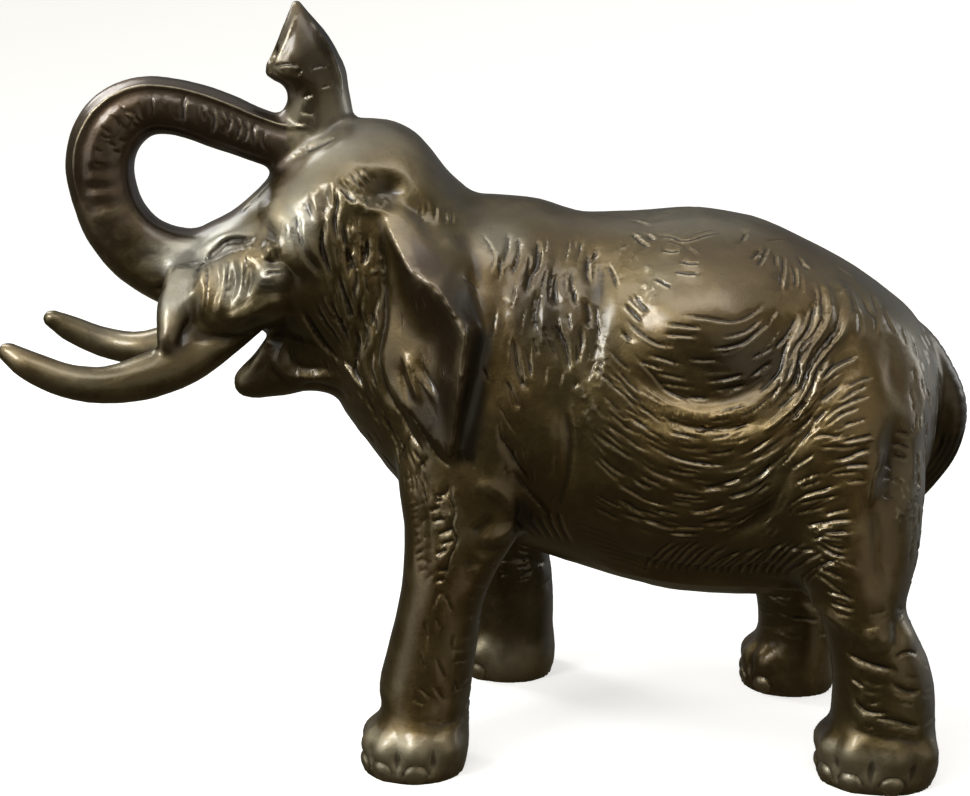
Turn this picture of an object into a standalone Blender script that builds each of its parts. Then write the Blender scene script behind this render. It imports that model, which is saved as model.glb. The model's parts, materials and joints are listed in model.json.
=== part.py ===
"""A cast bronze elephant, standing on its four feet with its trunk raised over its head.

Run with: blender --background --python part.py
Units are metres and +Z is up.  The elephant faces -X and its left side faces -Y.  The origin is on
the ground, in the middle of the casting's box.  Lengths below are in millimetres (MM turns them
into metres at the end).

The casting is built up as closed lofts, one for each mass of the animal (barrel, head, trunk, legs,
feet, ears, tusks, tail).  A voxel Remesh joins them into one skin, the hollows between them are
filleted, and the larger folds, toes and hollows are then pressed into that skin.
"""

import math

import bmesh
import bpy
import numpy as np

MM = 0.001

# ------------------------------------------------------------------ sizes (mm)
VOXEL = 1.55            # spacing of the joined skin
FILLET_PASSES = 26      # how far the hollows between masses are filled
TRIANGLES = 9400        # faces of the finished skin

HEAD_TURN = math.radians(10.0)   # the head looks this far towards its left side (-Y)
NECK_PIVOT_X = -10.0
NECK_BACK_X, NECK_FRONT_X = 14.0, -26.0   # the turn grows from none to full between these

# barrel: x, back height, belly height, half width, height of the widest line
BARREL = (
    (-46, 140, 107.5, 12, 122), (-42, 148, 98.5, 20, 121), (-36, 154, 90.2, 26, 119),
    (-30, 158, 82.5, 30, 117), (-22, 160, 72.8, 34, 114), (-12, 160.9, 65, 37, 111),
    (0, 160.9, 60, 39, 108), (13, 160.2, 56.6, 40.5, 104), (30, 156, 51.6, 42, 99),
    (44, 156.4, 47.8, 43.5, 95), (59, 157.6, 45, 44.5, 92), (75, 155.5, 44.3, 44.5, 92),
    (93, 148.3, 45.4, 43.5, 94), (105, 141.9, 50.5, 41, 97), (115, 135.2, 58.5, 36.5, 100),
    (122, 129.2, 69, 29.5, 101), (127, 122.5, 80, 20.5, 102), (130, 115, 90, 11, 103),
    (131, 108, 97, 4, 103),
)
# head and neck, before the turn: x, top, bottom, half width, height of the widest line
HEAD = (
    (-100, 145, 134, 7, 140), (-92, 148.6, 130, 10, 140), (-86, 150, 127, 12, 139),
    (-80, 152.7, 125, 14, 139), (-73, 156.2, 123, 16.5, 139.5), (-66, 161.8, 122.5, 19.5, 141),
    (-60, 167.8, 120.5, 22, 143), (-53, 173.3, 116.5, 24.5, 146), (-46, 178.6, 112, 26, 149),
    (-40, 181.6, 107, 27, 150), (-34, 182.6, 103.8, 27.5, 150), (-28, 182.1, 100, 28, 149),
    (-20, 178.7, 95.5, 29, 145), (-15, 173.3, 95, 30, 140), (-9, 166, 94, 31, 136),
    (-2, 160.9, 95, 32.5, 130), (8, 159.5, 98, 33, 124), (20, 156, 104, 30, 122),
)
# trunk, in the middle plane of the head: x, z, half depth, half width
TRUNK = (
    (-72, 138, 13, 13), (-84, 139, 12.4, 11.6), (-93.4, 142, 11, 10.4),
    (-100.7, 146.8, 10.1, 9.6), (-105.8, 153.8, 9.5, 9.1), (-108.4, 161.4, 9.3, 8.8),
    (-109.3, 169, 9.5, 8.6), (-107.7, 176.1, 9.4, 8.4), (-103.4, 182.1, 9.1, 8.2),
    (-96.5, 185.7, 8.3, 8), (-88.8, 185.8, 7.9, 7.8), (-81, 184, 8, 7.6),
    (-73.4, 181.2, 8, 7.5), (-66.5, 178.4, 7.6, 7.4), (-58, 175.5, 7.6, 7.4),
    (-49, 174, 7.6, 7.6),
)
# the upturned end of the trunk: z, front x, back x, half width
TRUNK_END = (
    (172, -56, -40, 6.5), (178, -58.2, -38.4, 7.6), (184, -57.6, -37.6, 8.2), (188.5, -55.8, -38.2, 8.4),
    (191.3, -56.6, -38.7, 8.4), (193.6, -60.9, -39.0, 8.3), (196.3, -62.1, -39.5, 8.1),
    (201, -59.8, -41.7, 7.4), (206.5, -57.5, -44.8, 5.6), (211.3, -55.4, -49, 3.4),
    (214.9, -53.9, -52.0, 1.2),
)
# tusk, on one side of the head: x, distance from the middle plane, z, radius
TUSK = (
    (-54, 11, 140, 6.8), (-62, 13, 134.2, 6.8), (-68, 15, 129.6, 6.8), (-74, 17.2, 124.7, 6.8),
    (-84, 21, 117.5, 6.8), (-94.5, 25.5, 113.4, 6.4), (-105, 29.2, 111.7, 5.2),
    (-115, 31.2, 113.1, 4.7), (-125.4, 31.2, 117.6, 4.1), (-131.2, 29.9, 121.2, 2.8),
)
# lower jaw: x, top, bottom, half width, before the turn
JAW = (
    (-73.6, 108.3, 104.6, 2.4), (-71.8, 110.4, 102.4, 4.4), (-67.4, 114.9, 101.4, 6.4),
    (-63.2, 120.4, 101.8, 8.0), (-58, 124.5, 102.4, 9.8), (-52, 128, 103.6, 12),
    (-45, 131.5, 102.5, 15), (-38, 134, 98, 18.5), (-28, 134, 93, 21), (-16, 130, 91, 23),
)
# cheek over each tusk root, before the turn: x, top, bottom, middle, half width, widest height
SHEATH = (
    (-87, 137, 127, 11, 3.4, 131), (-84.4, 140.4, 124.4, 12.8, 7.6, 131), (-80, 143.4, 123.4, 14.4, 10.4, 131),
    (-75, 146, 123, 15, 12, 132), (-68, 149, 124, 15.5, 12.6, 135), (-61, 152, 126, 15, 12.2, 139),
    (-54, 153, 129, 13, 12, 142), (-48, 151, 134, 11, 11, 144),
)
# tail: x, y, z, radius
TAIL = (
    (110, 0, 124, 7), (118, 0, 122, 6.6), (124.4, 0, 118, 6.3), (130, 0, 110.6, 5.9),
    (134.7, 0.5, 101, 5.6), (134.2, 1.5, 89, 5.3), (127.8, 2.8, 77.4, 5.0), (119, 3.6, 70, 4.6),
)
# legs: z, front x, back x, distance of the middle from the middle plane, half width
FRONT_LEFT = (
    (0, -31.2, -2.4, 36.8, 13.6), (3.5, -32, -1.6, 36.8, 14), (8, -31, -1.2, 36.5, 13.9),
    (13, -28.8, -1.4, 35.8, 13.2), (17.5, -26.4, -1.3, 35.2, 12.4), (23, -27.2, -0.8, 34.4, 12.2),
    (34, -24.9, 0.6, 33.2, 12.2), (46, -22, 2.2, 31.8, 12.4), (57, -20.5, 6.2, 30.4, 13),
    (68, -20.2, 12.6, 29, 14), (80, -21.8, 19, 27.6, 14.6), (94, -22.5, 24, 26.4, 14.6),
    (108, -21, 26, 25.4, 14), (120, -16, 22, 24, 12.4), (130, -8, 14, 22, 9),
)
FRONT_RIGHT = (
    (0, -10, 18.8, 37.4, 12.8), (3.5, -10.8, 20.2, 37.4, 13.4), (8, -9.8, 20.4, 37.2, 13.5),
    (13, -8, 20, 36.6, 13.2), (18, -6.2, 19.6, 35.6, 12.4), (25, -6.4, 19.8, 34.6, 12.2),
    (34, -6.8, 19.4, 33.4, 12.2), (46, -8, 18, 31.8, 12.4), (57, -10.5, 17.8, 30.4, 13),
    (68, -14, 19.4, 29, 14), (80, -18.5, 22, 27.6, 14.6), (94, -22, 25, 26.4, 14.6),
    (108, -21, 26, 25.4, 14), (120, -16, 22, 24, 12.4), (130, -8, 14, 22, 9),
)
HIND_LEFT = (
    (0, 98, 129, 33, 12.6), (3.5, 97.4, 130.8, 33, 13.6), (8, 97.6, 131, 33, 13.9),
    (13, 99, 130, 33.2, 14.4), (19, 101, 129.2, 33.2, 14.0), (27, 101, 128.6, 33, 13.8),
    (35, 100, 126.8, 32.6, 13.6), (43, 98, 123, 32, 13.8), (51, 94.8, 119.8, 31.2, 14.4),
    (60, 89, 121.6, 29.8, 15.2), (71, 83, 123.4, 28, 16.2), (84, 79, 124, 26, 17),
    (98, 77, 123.4, 24.4, 17.2), (112, 78, 120, 22.8, 16.4), (124, 84, 112, 21, 13.4),
    (132, 90, 106, 19, 9),
)
HIND_RIGHT = (
    (0, 82, 110.8, 35, 14.2), (3.5, 81.4, 112.6, 35, 15), (8, 82, 112.8, 35, 15.2),
    (13, 84.8, 112.6, 34.8, 15), (19, 86.8, 112.2, 34.4, 14.2), (27, 86.2, 111, 33.8, 13.8),
    (35, 84.2, 109, 33.2, 13.6), (43, 82.8, 108, 32.4, 13.8), (51, 80.4, 110, 31.4, 14.4),
    (60, 78.6, 115.4, 30, 15.2), (71, 77, 120.4, 28, 16.2), (84, 76, 123, 26, 17),
    (98, 77, 123.4, 24.4, 17.2), (112, 78, 120, 22.8, 16.4), (124, 84, 112, 21, 13.4),
    (132, 90, 106, 19, 9),
)
# ear, before the turn.  Rim of the outer face from the top down the free edge and back up the root:
# x, distance from the middle plane, z, then how far towards the tail and up the back of the ear lies
EAR = (
    (-30.4, 28.5, 156.8, 4, 3), (-24.2, 39, 143.7, 10, 10), (-15.6, 43.5, 139.2, 10.5, 7),
    (-4.0, 47.8, 127.6, 9.5, -1), (-5.8, 47.2, 116.8, 9, -2), (-7.8, 46.2, 106.3, 9, -2),
    (-10.5, 43.7, 92, 8.4, -1), (-20.8, 38.4, 98.8, 9, 2), (-25.8, 34.6, 104.3, 9, 3),
    (-29.3, 31.4, 109, 9, 3), (-30.8, 29.4, 114.9, 9, 2), (-29.9, 28.6, 120.4, 8, 1),
    (-27.1, 29, 126.8, 6, 0), (-27.5, 29, 136.5, 6, 0), (-29, 28.5, 146, 5, 1),
)


# ------------------------------------------------------------------ helpers
def spline(keys, count, by=None):
    """Rows of keys at count even steps along them, through a cubic that doesn't overshoot."""
    keys = np.asarray(keys, float)
    if by is None:
        steps = np.linalg.norm(np.diff(keys[:, :by or 3], axis=0), axis=1)
        at = np.concatenate([[0], np.cumsum(steps)])
    else:
        at = keys[:, by]
    gaps = np.diff(at)
    slopes = np.diff(keys, axis=0) / gaps[:, None]
    tangents = np.empty_like(keys)
    tangents[0], tangents[-1] = slopes[0], slopes[-1]
    wide, thin = 2 * gaps[1:] + gaps[:-1], gaps[1:] + 2 * gaps[:-1]
    with np.errstate(divide="ignore", invalid="ignore"):
        mean = (wide + thin)[:, None] / (wide[:, None] / slopes[:-1] + thin[:, None] / slopes[1:])
    tangents[1:-1] = np.where(slopes[:-1] * slopes[1:] > 0, mean, 0)
    where = np.linspace(at[0], at[-1], count)
    cell = np.clip(np.searchsorted(at, where, side="right") - 1, 0, len(gaps) - 1)
    t = ((where - at[cell]) / gaps[cell])[:, None]
    h = gaps[cell][:, None]
    return (
        (1 + 2 * t) * (1 - t) ** 2 * keys[cell] + t * (1 - t) ** 2 * h * tangents[cell]
        + t * t * (3 - 2 * t) * keys[cell + 1] + t * t * (t - 1) * h * tangents[cell + 1]
    )


def path_spline(keys, count):
    """Rows of keys at count steps along a smooth path (Catmull-Rom, spaced by distance)."""
    keys = np.asarray(keys, float)
    full = np.vstack([2 * keys[0] - keys[1], keys, 2 * keys[-1] - keys[-2]])
    fine = []
    for i in range(1, len(full) - 2):
        t = np.linspace(0, 1, 24, endpoint=False)[:, None]
        a, b, c, d = full[i - 1], full[i], full[i + 1], full[i + 2]
        fine.append(0.5 * (2 * b + (c - a) * t + (2 * a - 5 * b + 4 * c - d) * t**2
                           + (3 * b - a - 3 * c + d) * t**3))
    fine = np.vstack(fine + [keys[-1:]])
    steps = np.linalg.norm(np.diff(fine[:, :3], axis=0), axis=1)
    at = np.concatenate([[0], np.cumsum(steps)])
    where = np.linspace(0, at[-1], count)
    return np.stack([np.interp(where, at, column) for column in fine.T], axis=1)


def ring(centre, side, up, r_side, r_up, r_down, bulge_up=2.0, bulge_down=2.0, points=48):
    """One closed section: an oval whose upper and lower halves differ in height and squareness."""
    turn = np.linspace(0, 2 * math.pi, points, endpoint=False)
    c, s = np.cos(turn), np.sin(turn)
    power = np.where(s >= 0, 2 / bulge_up, 2 / bulge_down)
    across = np.sign(c) * np.abs(c) ** power * r_side
    along = np.sign(s) * np.abs(s) ** power * np.where(s >= 0, r_up, r_down)
    return np.asarray(centre) + across[:, None] * np.asarray(side) + along[:, None] * np.asarray(up)


def loft(name, rings):
    """A closed mesh object through the rings, with flat ends."""
    rings = np.asarray(rings, float)
    count, points, _ = rings.shape
    mesh = bmesh.new()
    rows = [[mesh.verts.new(p) for p in row] for row in rings]
    for a, b in zip(rows, rows[1:]):
        for i in range(points):
            j = (i + 1) % points
            mesh.faces.new((a[i], a[j], b[j], b[i]))
    mesh.faces.new(rows[0][::-1])
    mesh.faces.new(rows[-1])
    bmesh.ops.triangulate(mesh, faces=[f for f in mesh.faces if len(f.verts) > 4])
    bmesh.ops.recalc_face_normals(mesh, faces=mesh.faces)
    data = bpy.data.meshes.new(name)
    mesh.to_mesh(data)
    mesh.free()
    made = bpy.data.objects.new(name, data)
    bpy.context.scene.collection.objects.link(made)
    return made


def turned(points):
    """Points of the head carried round with it, easing from none at the shoulders to the full turn."""
    points = np.asarray(points, float)
    x, y = points[..., 0], points[..., 1]
    t = np.clip((NECK_BACK_X - x) / (NECK_BACK_X - NECK_FRONT_X), 0, 1)
    angle = HEAD_TURN * t * t * (3 - 2 * t)
    c, s = np.cos(angle), np.sin(angle)
    out = points.copy()
    out[..., 0] = NECK_PIVOT_X + c * (x - NECK_PIVOT_X) - s * y
    out[..., 1] = s * (x - NECK_PIVOT_X) + c * y
    return out


def barrel(name, table, count, bulge_up, bulge_down, carry=None):
    rows = spline(table, count, by=0)
    rings = [ring((x, 0, wide), (0, 1, 0), (0, 0, 1), half, top - wide, wide - bottom,
                  bulge_up, bulge_down, 64) for x, top, bottom, half, wide in rows]
    return loft(name, carry(rings) if carry else rings)


def limb(name, table, side, count=60, bulge=2.15):
    """A leg: flat sole, horizontal sections."""
    rows = spline(table, count, by=0)
    rings = [ring(((front + back) / 2, side * middle, z), (1, 0, 0), (0, 1, 0),
                  (back - front) / 2, half, half, bulge, bulge)
             for z, front, back, middle, half in rows]
    return loft(name, rings)


def tube(name, rows, side_of, bulge_up=2.0, bulge_down=2.0, carry=None, points=36, round_end=False):
    """A tube along rows of x, y, z, depth radius, side radius."""
    centres = rows[:, :3]
    along = np.gradient(centres, axis=0)
    along /= np.linalg.norm(along, axis=1)[:, None]
    rings = []
    for centre, way, row in zip(centres, along, rows):
        side = np.asarray(side_of, float) - way * np.dot(side_of, way)
        side /= np.linalg.norm(side)
        up = np.cross(way, side)
        rings.append(ring(centre, side, up, row[4], row[3], row[3], bulge_up, bulge_down, points))
    if round_end:
        way, row = along[-1], rows[-1]
        side = np.asarray(side_of, float) - way * np.dot(side_of, way)
        side /= np.linalg.norm(side)
        for lean in (25, 50, 72):
            shrink, ahead = math.cos(math.radians(lean)), math.sin(math.radians(lean))
            rings.append(ring(row[:3] + way * row[3] * ahead, side, np.cross(way, side),
                              row[4] * shrink, row[3] * shrink, row[3] * shrink,
                              bulge_up, bulge_down, points))
    rings = np.asarray(rings)
    return loft(name, carry(rings) if carry else rings)


# ------------------------------------------------------------------ the masses
def trunk():
    rows = path_spline([(x, 0, z, depth, half) for x, z, depth, half in TRUNK], 90)
    return tube("trunk", rows, (0, 1, 0), 2.1, 2.7, turned)


def trunk_end():
    rows = spline(TRUNK_END, 40, by=0)
    return loft("trunk_end", turned([
        ring(((front + back) / 2, 0, z), (1, 0, 0), (0, 1, 0), (back - front) / 2, half, half)
        for z, front, back, half in rows]))


def tusk(side):
    rows = path_spline([(x, side * y, z, r, r) for x, y, z, r in TUSK], 60)
    return tube("tusk", rows, (0, 1, 0), carry=turned, round_end=True)


def jaw():
    rows = spline(JAW, 40, by=0)
    return loft("jaw", turned([
        ring((x, 0, (top + bottom) / 2), (0, 1, 0), (0, 0, 1), half, (top - bottom) / 2,
             (top - bottom) / 2, 2.2, 2.5) for x, top, bottom, half in rows]))


def lip(side):
    """The lobe that hangs in front of each tusk root."""
    keys = [(-84, 12.5, 139, 5.8), (-86.4, 18, 132.5, 5.0), (-87.7, 23, 127, 4.6), (-88.7, 26, 123.2, 3.7)]
    rows = path_spline([(x, side * y, z, r, r * 0.9) for x, y, z, r in keys], 24)
    return tube("lip", rows, (0, 1, 0), carry=turned, round_end=True)


def sheath(side):
    """The swelling of the cheek that the tusk comes out from under."""
    rows = spline(SHEATH, 30, by=0)
    return loft("sheath", turned([
        ring((x, side * middle, wide), (0, 1, 0), (0, 0, 1), half, top - wide, wide - bottom, 2.0, 3.0, 40)
        for x, top, bottom, middle, half, wide in rows]))


def ear(side):
    """A thick leaf: its outer face stands off the head, and its back slopes down into the neck."""
    rim = np.array(EAR + EAR[:1], float)
    steps = np.concatenate([[0], np.cumsum(np.linalg.norm(np.diff(rim[:, :3], axis=0), axis=1))])
    where = np.linspace(0, steps[-1], 121)[:-1]
    rim = np.stack([np.interp(where, steps, column) for column in rim.T], axis=1)
    for _ in range(2):   # takes the points off the corners
        rim = (rim + np.roll(rim, 1, axis=0) + np.roll(rim, -1, axis=0)) / 3
    face, middle = rim[:, :3], rim[:, :3].mean(axis=0)
    back = face.copy()
    back[:, 0] += rim[:, 3]
    back[:, 1] = 27 + 0.16 * (back[:, 0] + 30)
    back[:, 2] += rim[:, 4]
    deep = back.copy()
    deep[:, 1] = 14
    rings = [middle + (face - middle) * t + (0, -1.4 * (1 - t * t), 0) for t in (0.03, 0.35, 0.7, 0.93, 1)]
    rings += [face + (back - face) * t for t in (0.08, 0.3, 0.65, 1)] + [deep]
    rings = np.array(rings)
    rings[..., 1] *= side
    return loft("ear", turned(rings))


def tail():
    rows = path_spline([(x, y, z, r, r) for x, y, z, r in TAIL], 50)
    return tube("tail", rows, (0, 1, 0), round_end=True)


def masses():
    made = [
        barrel("barrel", BARREL, 90, 1.95, 2.15),
        barrel("head", HEAD, 80, 2.05, 2.3, turned),
        trunk(), trunk_end(), jaw(), tail(),
        limb("front_left", FRONT_LEFT, -1), limb("front_right", FRONT_RIGHT, 1),
        limb("hind_left", HIND_LEFT, -1), limb("hind_right", HIND_RIGHT, 1),
    ]
    for side in (-1, 1):
        made += [tusk(side), lip(side), sheath(side), ear(side)]
    return made


def joined(parts, name, voxel):
    """The parts as one skin."""
    data = bpy.data.meshes.new(name)
    whole = bmesh.new()
    for part in parts:
        whole.from_mesh(part.data)
        mesh = part.data
        bpy.data.objects.remove(part)
        bpy.data.meshes.remove(mesh)
    whole.to_mesh(data)
    whole.free()
    made = bpy.data.objects.new(name, data)
    bpy.context.scene.collection.objects.link(made)
    remesh = made.modifiers.new("skin", "REMESH")
    remesh.mode, remesh.voxel_size, remesh.adaptivity = "VOXEL", voxel, 0.0
    return baked(made)


def baked(made):
    """The object with its modifiers applied."""
    graph = bpy.context.evaluated_depsgraph_get()
    data = bpy.data.meshes.new_from_object(made.evaluated_get(graph))
    old = made.data
    made.modifiers.clear()
    made.data = data
    bpy.data.meshes.remove(old)
    return made


class Skin:
    """The points of a mesh, with the neighbours needed to smooth and press them."""

    def __init__(self, mesh):
        self.mesh = mesh
        self.p = np.empty(len(mesh.vertices) * 3)
        mesh.vertices.foreach_get("co", self.p)
        self.p = self.p.reshape(-1, 3)
        edges = np.empty(len(mesh.edges) * 2, np.int64)
        mesh.edges.foreach_get("vertices", edges)
        self.edges = edges.reshape(-1, 2)
        self.degree = np.bincount(edges, minlength=len(self.p)).astype(float)
        loops = np.empty(len(mesh.loops), np.int64)
        mesh.loops.foreach_get("vertex_index", loops)
        starts = np.empty(len(mesh.polygons), np.int64)
        mesh.polygons.foreach_get("loop_start", starts)
        totals = np.empty(len(mesh.polygons), np.int64)
        mesh.polygons.foreach_get("loop_total", totals)
        last = loops[starts + totals - 1]
        self.corners = np.stack([loops[starts], loops[starts + 1], loops[starts + 2], last], axis=1)

    def around(self, values):
        """The mean of the neighbours of each point."""
        a, b = self.edges.T
        out = np.empty_like(values)
        for k in range(values.shape[1]):
            out[:, k] = (np.bincount(a, values[b, k], len(values))
                         + np.bincount(b, values[a, k], len(values)))
        return out / self.degree[:, None]

    def normals(self):
        q = self.p[self.corners]
        n = np.cross(q[:, 2] - q[:, 0], q[:, 3] - q[:, 1])
        out = np.zeros_like(self.p)
        for k in range(3):
            for c in range(4):
                out[:, k] += np.bincount(self.corners[:, c], n[:, k], len(self.p))
        return out / np.maximum(np.linalg.norm(out, axis=1), 1e-12)[:, None]

    def smooth(self, passes, weight=0.5):
        """Laplacian passes, each undone a little so that the form keeps its size."""
        for _ in range(passes):
            for way in (weight, -weight * 0.94):
                self.p += (self.around(self.p) - self.p) * way

    def fillet(self, passes, least, weight=0.5):
        """Fills the hollows: only points that lie below their neighbours are let rise."""
        for _ in range(passes):
            move = self.around(self.p) - self.p
            n = self.normals()
            up = (move * n).sum(axis=1)
            let = np.clip((up - least) / max(least, 1e-6), 0, 1)[:, None]
            self.p += move * let * weight

    def store(self):
        self.mesh.vertices.foreach_set("co", self.p.ravel())
        self.mesh.update()


def unturned(points):
    """Where these points of the casting lie before the head is turned."""
    guess = points.copy()
    for _ in range(12):
        guess -= turned(guess) - points
    return guess


class Chisel:
    """Raises and lowers the skin along its normals.  Places are x, z on one side of the animal, or
    x, y, z; the head's places are those before its turn."""

    CELL = 1.5

    def __init__(self, skin):
        self.skin = skin
        self.take()

    def take(self):
        """Looks at the skin as it now is."""
        skin = self.skin
        n = skin.normals()
        for _ in range(2):
            n = (n + skin.around(n)) / 2
        self.normal = n / np.linalg.norm(n, axis=1)[:, None]
        self.at = {"body": skin.p.copy(), "head": unturned(skin.p)}
        self.order = {k: np.argsort(p[:, 0]) for k, p in self.at.items()}
        self.sorted_x = {k: p[self.order[k], 0] for k, p in self.at.items()}
        self.lift = np.zeros(len(skin.p))
        self.outer = {}
        for frame, p in self.at.items():
            for side in (-1, 1):
                grid = np.full((220, 160), -1e9)
                i = ((p[:, 0] + 160) / self.CELL).astype(int)
                k = ((p[:, 2] + 5) / self.CELL).astype(int)
                np.maximum.at(grid, (i, k), p[:, 1] * side)
                for _ in range(2):
                    wide = np.pad(grid, 1, constant_values=-1e9)
                    near = np.max([wide[1 + a:221 + a, 1 + b:161 + b]
                                   for a in (-1, 0, 1) for b in (-1, 0, 1)], axis=0)
                    grid = np.where(grid < -1e8, near, grid)
                self.outer[frame, side] = grid

    def done(self):
        self.skin.p += self.normal * self.lift[:, None]
        self.take()

    def within(self, frame, low, high):
        """Indices of the points inside a box."""
        xs = self.sorted_x[frame]
        some = self.order[frame][np.searchsorted(xs, low[0]):np.searchsorted(xs, high[0])]
        p = self.at[frame][some]
        return some[((p[:, 1:] > low[1:]) & (p[:, 1:] < high[1:])).all(axis=1)]

    def outermost(self, frame, x, z, side):
        """Distance from the middle plane of the skin at x, z."""
        i, k = (np.asarray(x) + 160) / self.CELL - 0.5, (np.asarray(z) + 5) / self.CELL - 0.5
        grid = self.outer[frame, side]
        i0, k0 = np.floor(i).astype(int), np.floor(k).astype(int)
        u, v = i - i0, k - k0
        corners = [grid[i0 + a, k0 + b] for a in (0, 1) for b in (0, 1)]
        top = np.max(corners, axis=0)
        corners = [np.where(c < top - 12, top, c) for c in corners]
        return side * (corners[0] * (1 - u) * (1 - v) + corners[1] * (1 - u) * v
                       + corners[2] * u * (1 - v) + corners[3] * u * v)

    def mound(self, frame, side, at, size, height):
        """A rounded swelling, or a hollow if height is below zero."""
        at = np.array(at if len(at) == 3 else (at[0], self.outermost(frame, at[0], at[1], side), at[1]), float)
        size = np.asarray(size, float)
        some = self.within(frame, at - size, at + size)
        far = (((self.at[frame][some] - at) / size) ** 2).sum(axis=1)
        self.lift[some] += height * np.where(far < 1, (1 - far) ** 2, 0)

    def route(self, frame, side, places, step):
        """A smooth line over the skin through a few places."""
        places = np.asarray(places, float)
        length = np.linalg.norm(np.diff(places, axis=0), axis=1).sum()
        line = path_spline(places, max(4, int(length / step) + 1))
        if line.shape[1] == 2:
            y = self.outermost(frame, line[:, 0], line[:, 1], side)
            line = np.stack([line[:, 0], y, line[:, 1]], axis=1)
        return line

    def stroke(self, frame, side, places, width, height, lip=0.0, lip_at=1.7, ends=0.3, reach=None):
        """A ridge along a line, or a crease if height is below zero.  lip raises the skin beside it:
        above zero on the left of the line as it is drawn, seen from outside, below zero on the right."""
        reach = reach or width * (4.2 if lip else 2.6)
        line = self.route(frame, side, places, max(width * 0.5, 0.35))
        some = self.within(frame, line.min(axis=0) - reach, line.max(axis=0) + reach)
        if not len(some):
            return
        p = self.at[frame][some]
        gap = ((p[:, None] - line[None]) ** 2).sum(axis=2)
        nearest = gap.argmin(axis=1)
        keep = gap[np.arange(len(p)), nearest] < reach * reach
        some, p, nearest = some[keep], p[keep], nearest[keep]
        if not len(some):
            return
        along = np.gradient(line, axis=0)[nearest]
        along /= np.maximum(np.linalg.norm(along, axis=1), 1e-9)[:, None]
        away = p - line[nearest]
        outward = self.normal[some]
        facing = np.clip(outward[:, 1] * side * 4 + 1.2, 0, 1) if len(places[0]) == 2 else 1.0
        across = (np.cross(outward, along) * away).sum(axis=1) / width
        past = (away * along).sum(axis=1) / width
        t = nearest / (len(line) - 1)
        fade = ease(np.minimum(t, 1 - t) / ends) if ends else 1.0
        shape = height * np.exp(-across**2 - past**2)
        if lip:
            shape = shape + abs(lip) * np.exp(-((across - math.copysign(lip_at, lip)) / 1.15) ** 2 - past**2)
        self.lift[some] += shape * fade * facing


def ease(t):
    t = np.clip(t, 0, 1)
    return t * t * (3 - 2 * t)


def trunk_frame(points):
    """For points before the turn: distance along the trunk, angle round it from its outer side,
    and distance from its middle line in radii."""
    line = path_spline([(x, 0, z, r) for x, z, r, _ in TRUNK], 240)
    steps = np.concatenate([[0], np.cumsum(np.linalg.norm(np.diff(line[:, :3], axis=0), axis=1))])
    near = ((points[:, None, [0, 2]] - line[None, :, [0, 2]]) ** 2).sum(axis=2).argmin(axis=1)
    along = np.gradient(line[:, :3], axis=0)[near]
    along /= np.linalg.norm(along, axis=1)[:, None]
    away = points - line[near, :3]
    outward = np.stack([-along[:, 2], 0 * along[:, 0], along[:, 0]], axis=1)
    out, side = (away * outward).sum(axis=1), points[:, 1]
    return (steps[near] + (away * along).sum(axis=1), np.arctan2(side, out),
            np.hypot(out, side) / line[near, 3])


def trunk_relief(chisel, ribs, depth, width):
    """Edges along the outer side of the trunk and grooves across it."""
    some = chisel.within("head", np.array((-125, -14, 120)), np.array((-56, 14, 200)))
    station, round_it, radii = trunk_frame(chisel.at["head"][some])
    on = (radii < 1.5) & (station > 12) & (station < 140)
    some, station, round_it = some[on], station[on], np.abs(np.degrees(round_it[on]))
    fade = ease((station - 22) / 18) * ease((140 - station) / 6)
    edge = 0.75 * np.exp(-((round_it - 52) / 9) ** 2) - 0.35 * np.exp(-((round_it - 68) / 9) ** 2)
    chisel.lift[some] += edge * fade
    sides = ease((round_it - 50) / 14) * (1 - 0.7 * ease((round_it - 125) / 40))
    for i, (where, lean, strength) in enumerate(ribs):
        away = (station - where - lean * np.sin(np.radians(round_it - 90))) / width
        chisel.lift[some] -= depth * strength * np.exp(-away**2) * sides * ease((station - 12) / 6)


def feet():
    """Each foot: side, front x, back x, middle, half width near the ground, toes, frame."""
    for side, table in ((-1, FRONT_LEFT), (1, FRONT_RIGHT), (-1, HIND_LEFT), (1, HIND_RIGHT)):
        z, front, back, middle, half = table[1]
        yield side, front, back, side * middle, half


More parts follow.
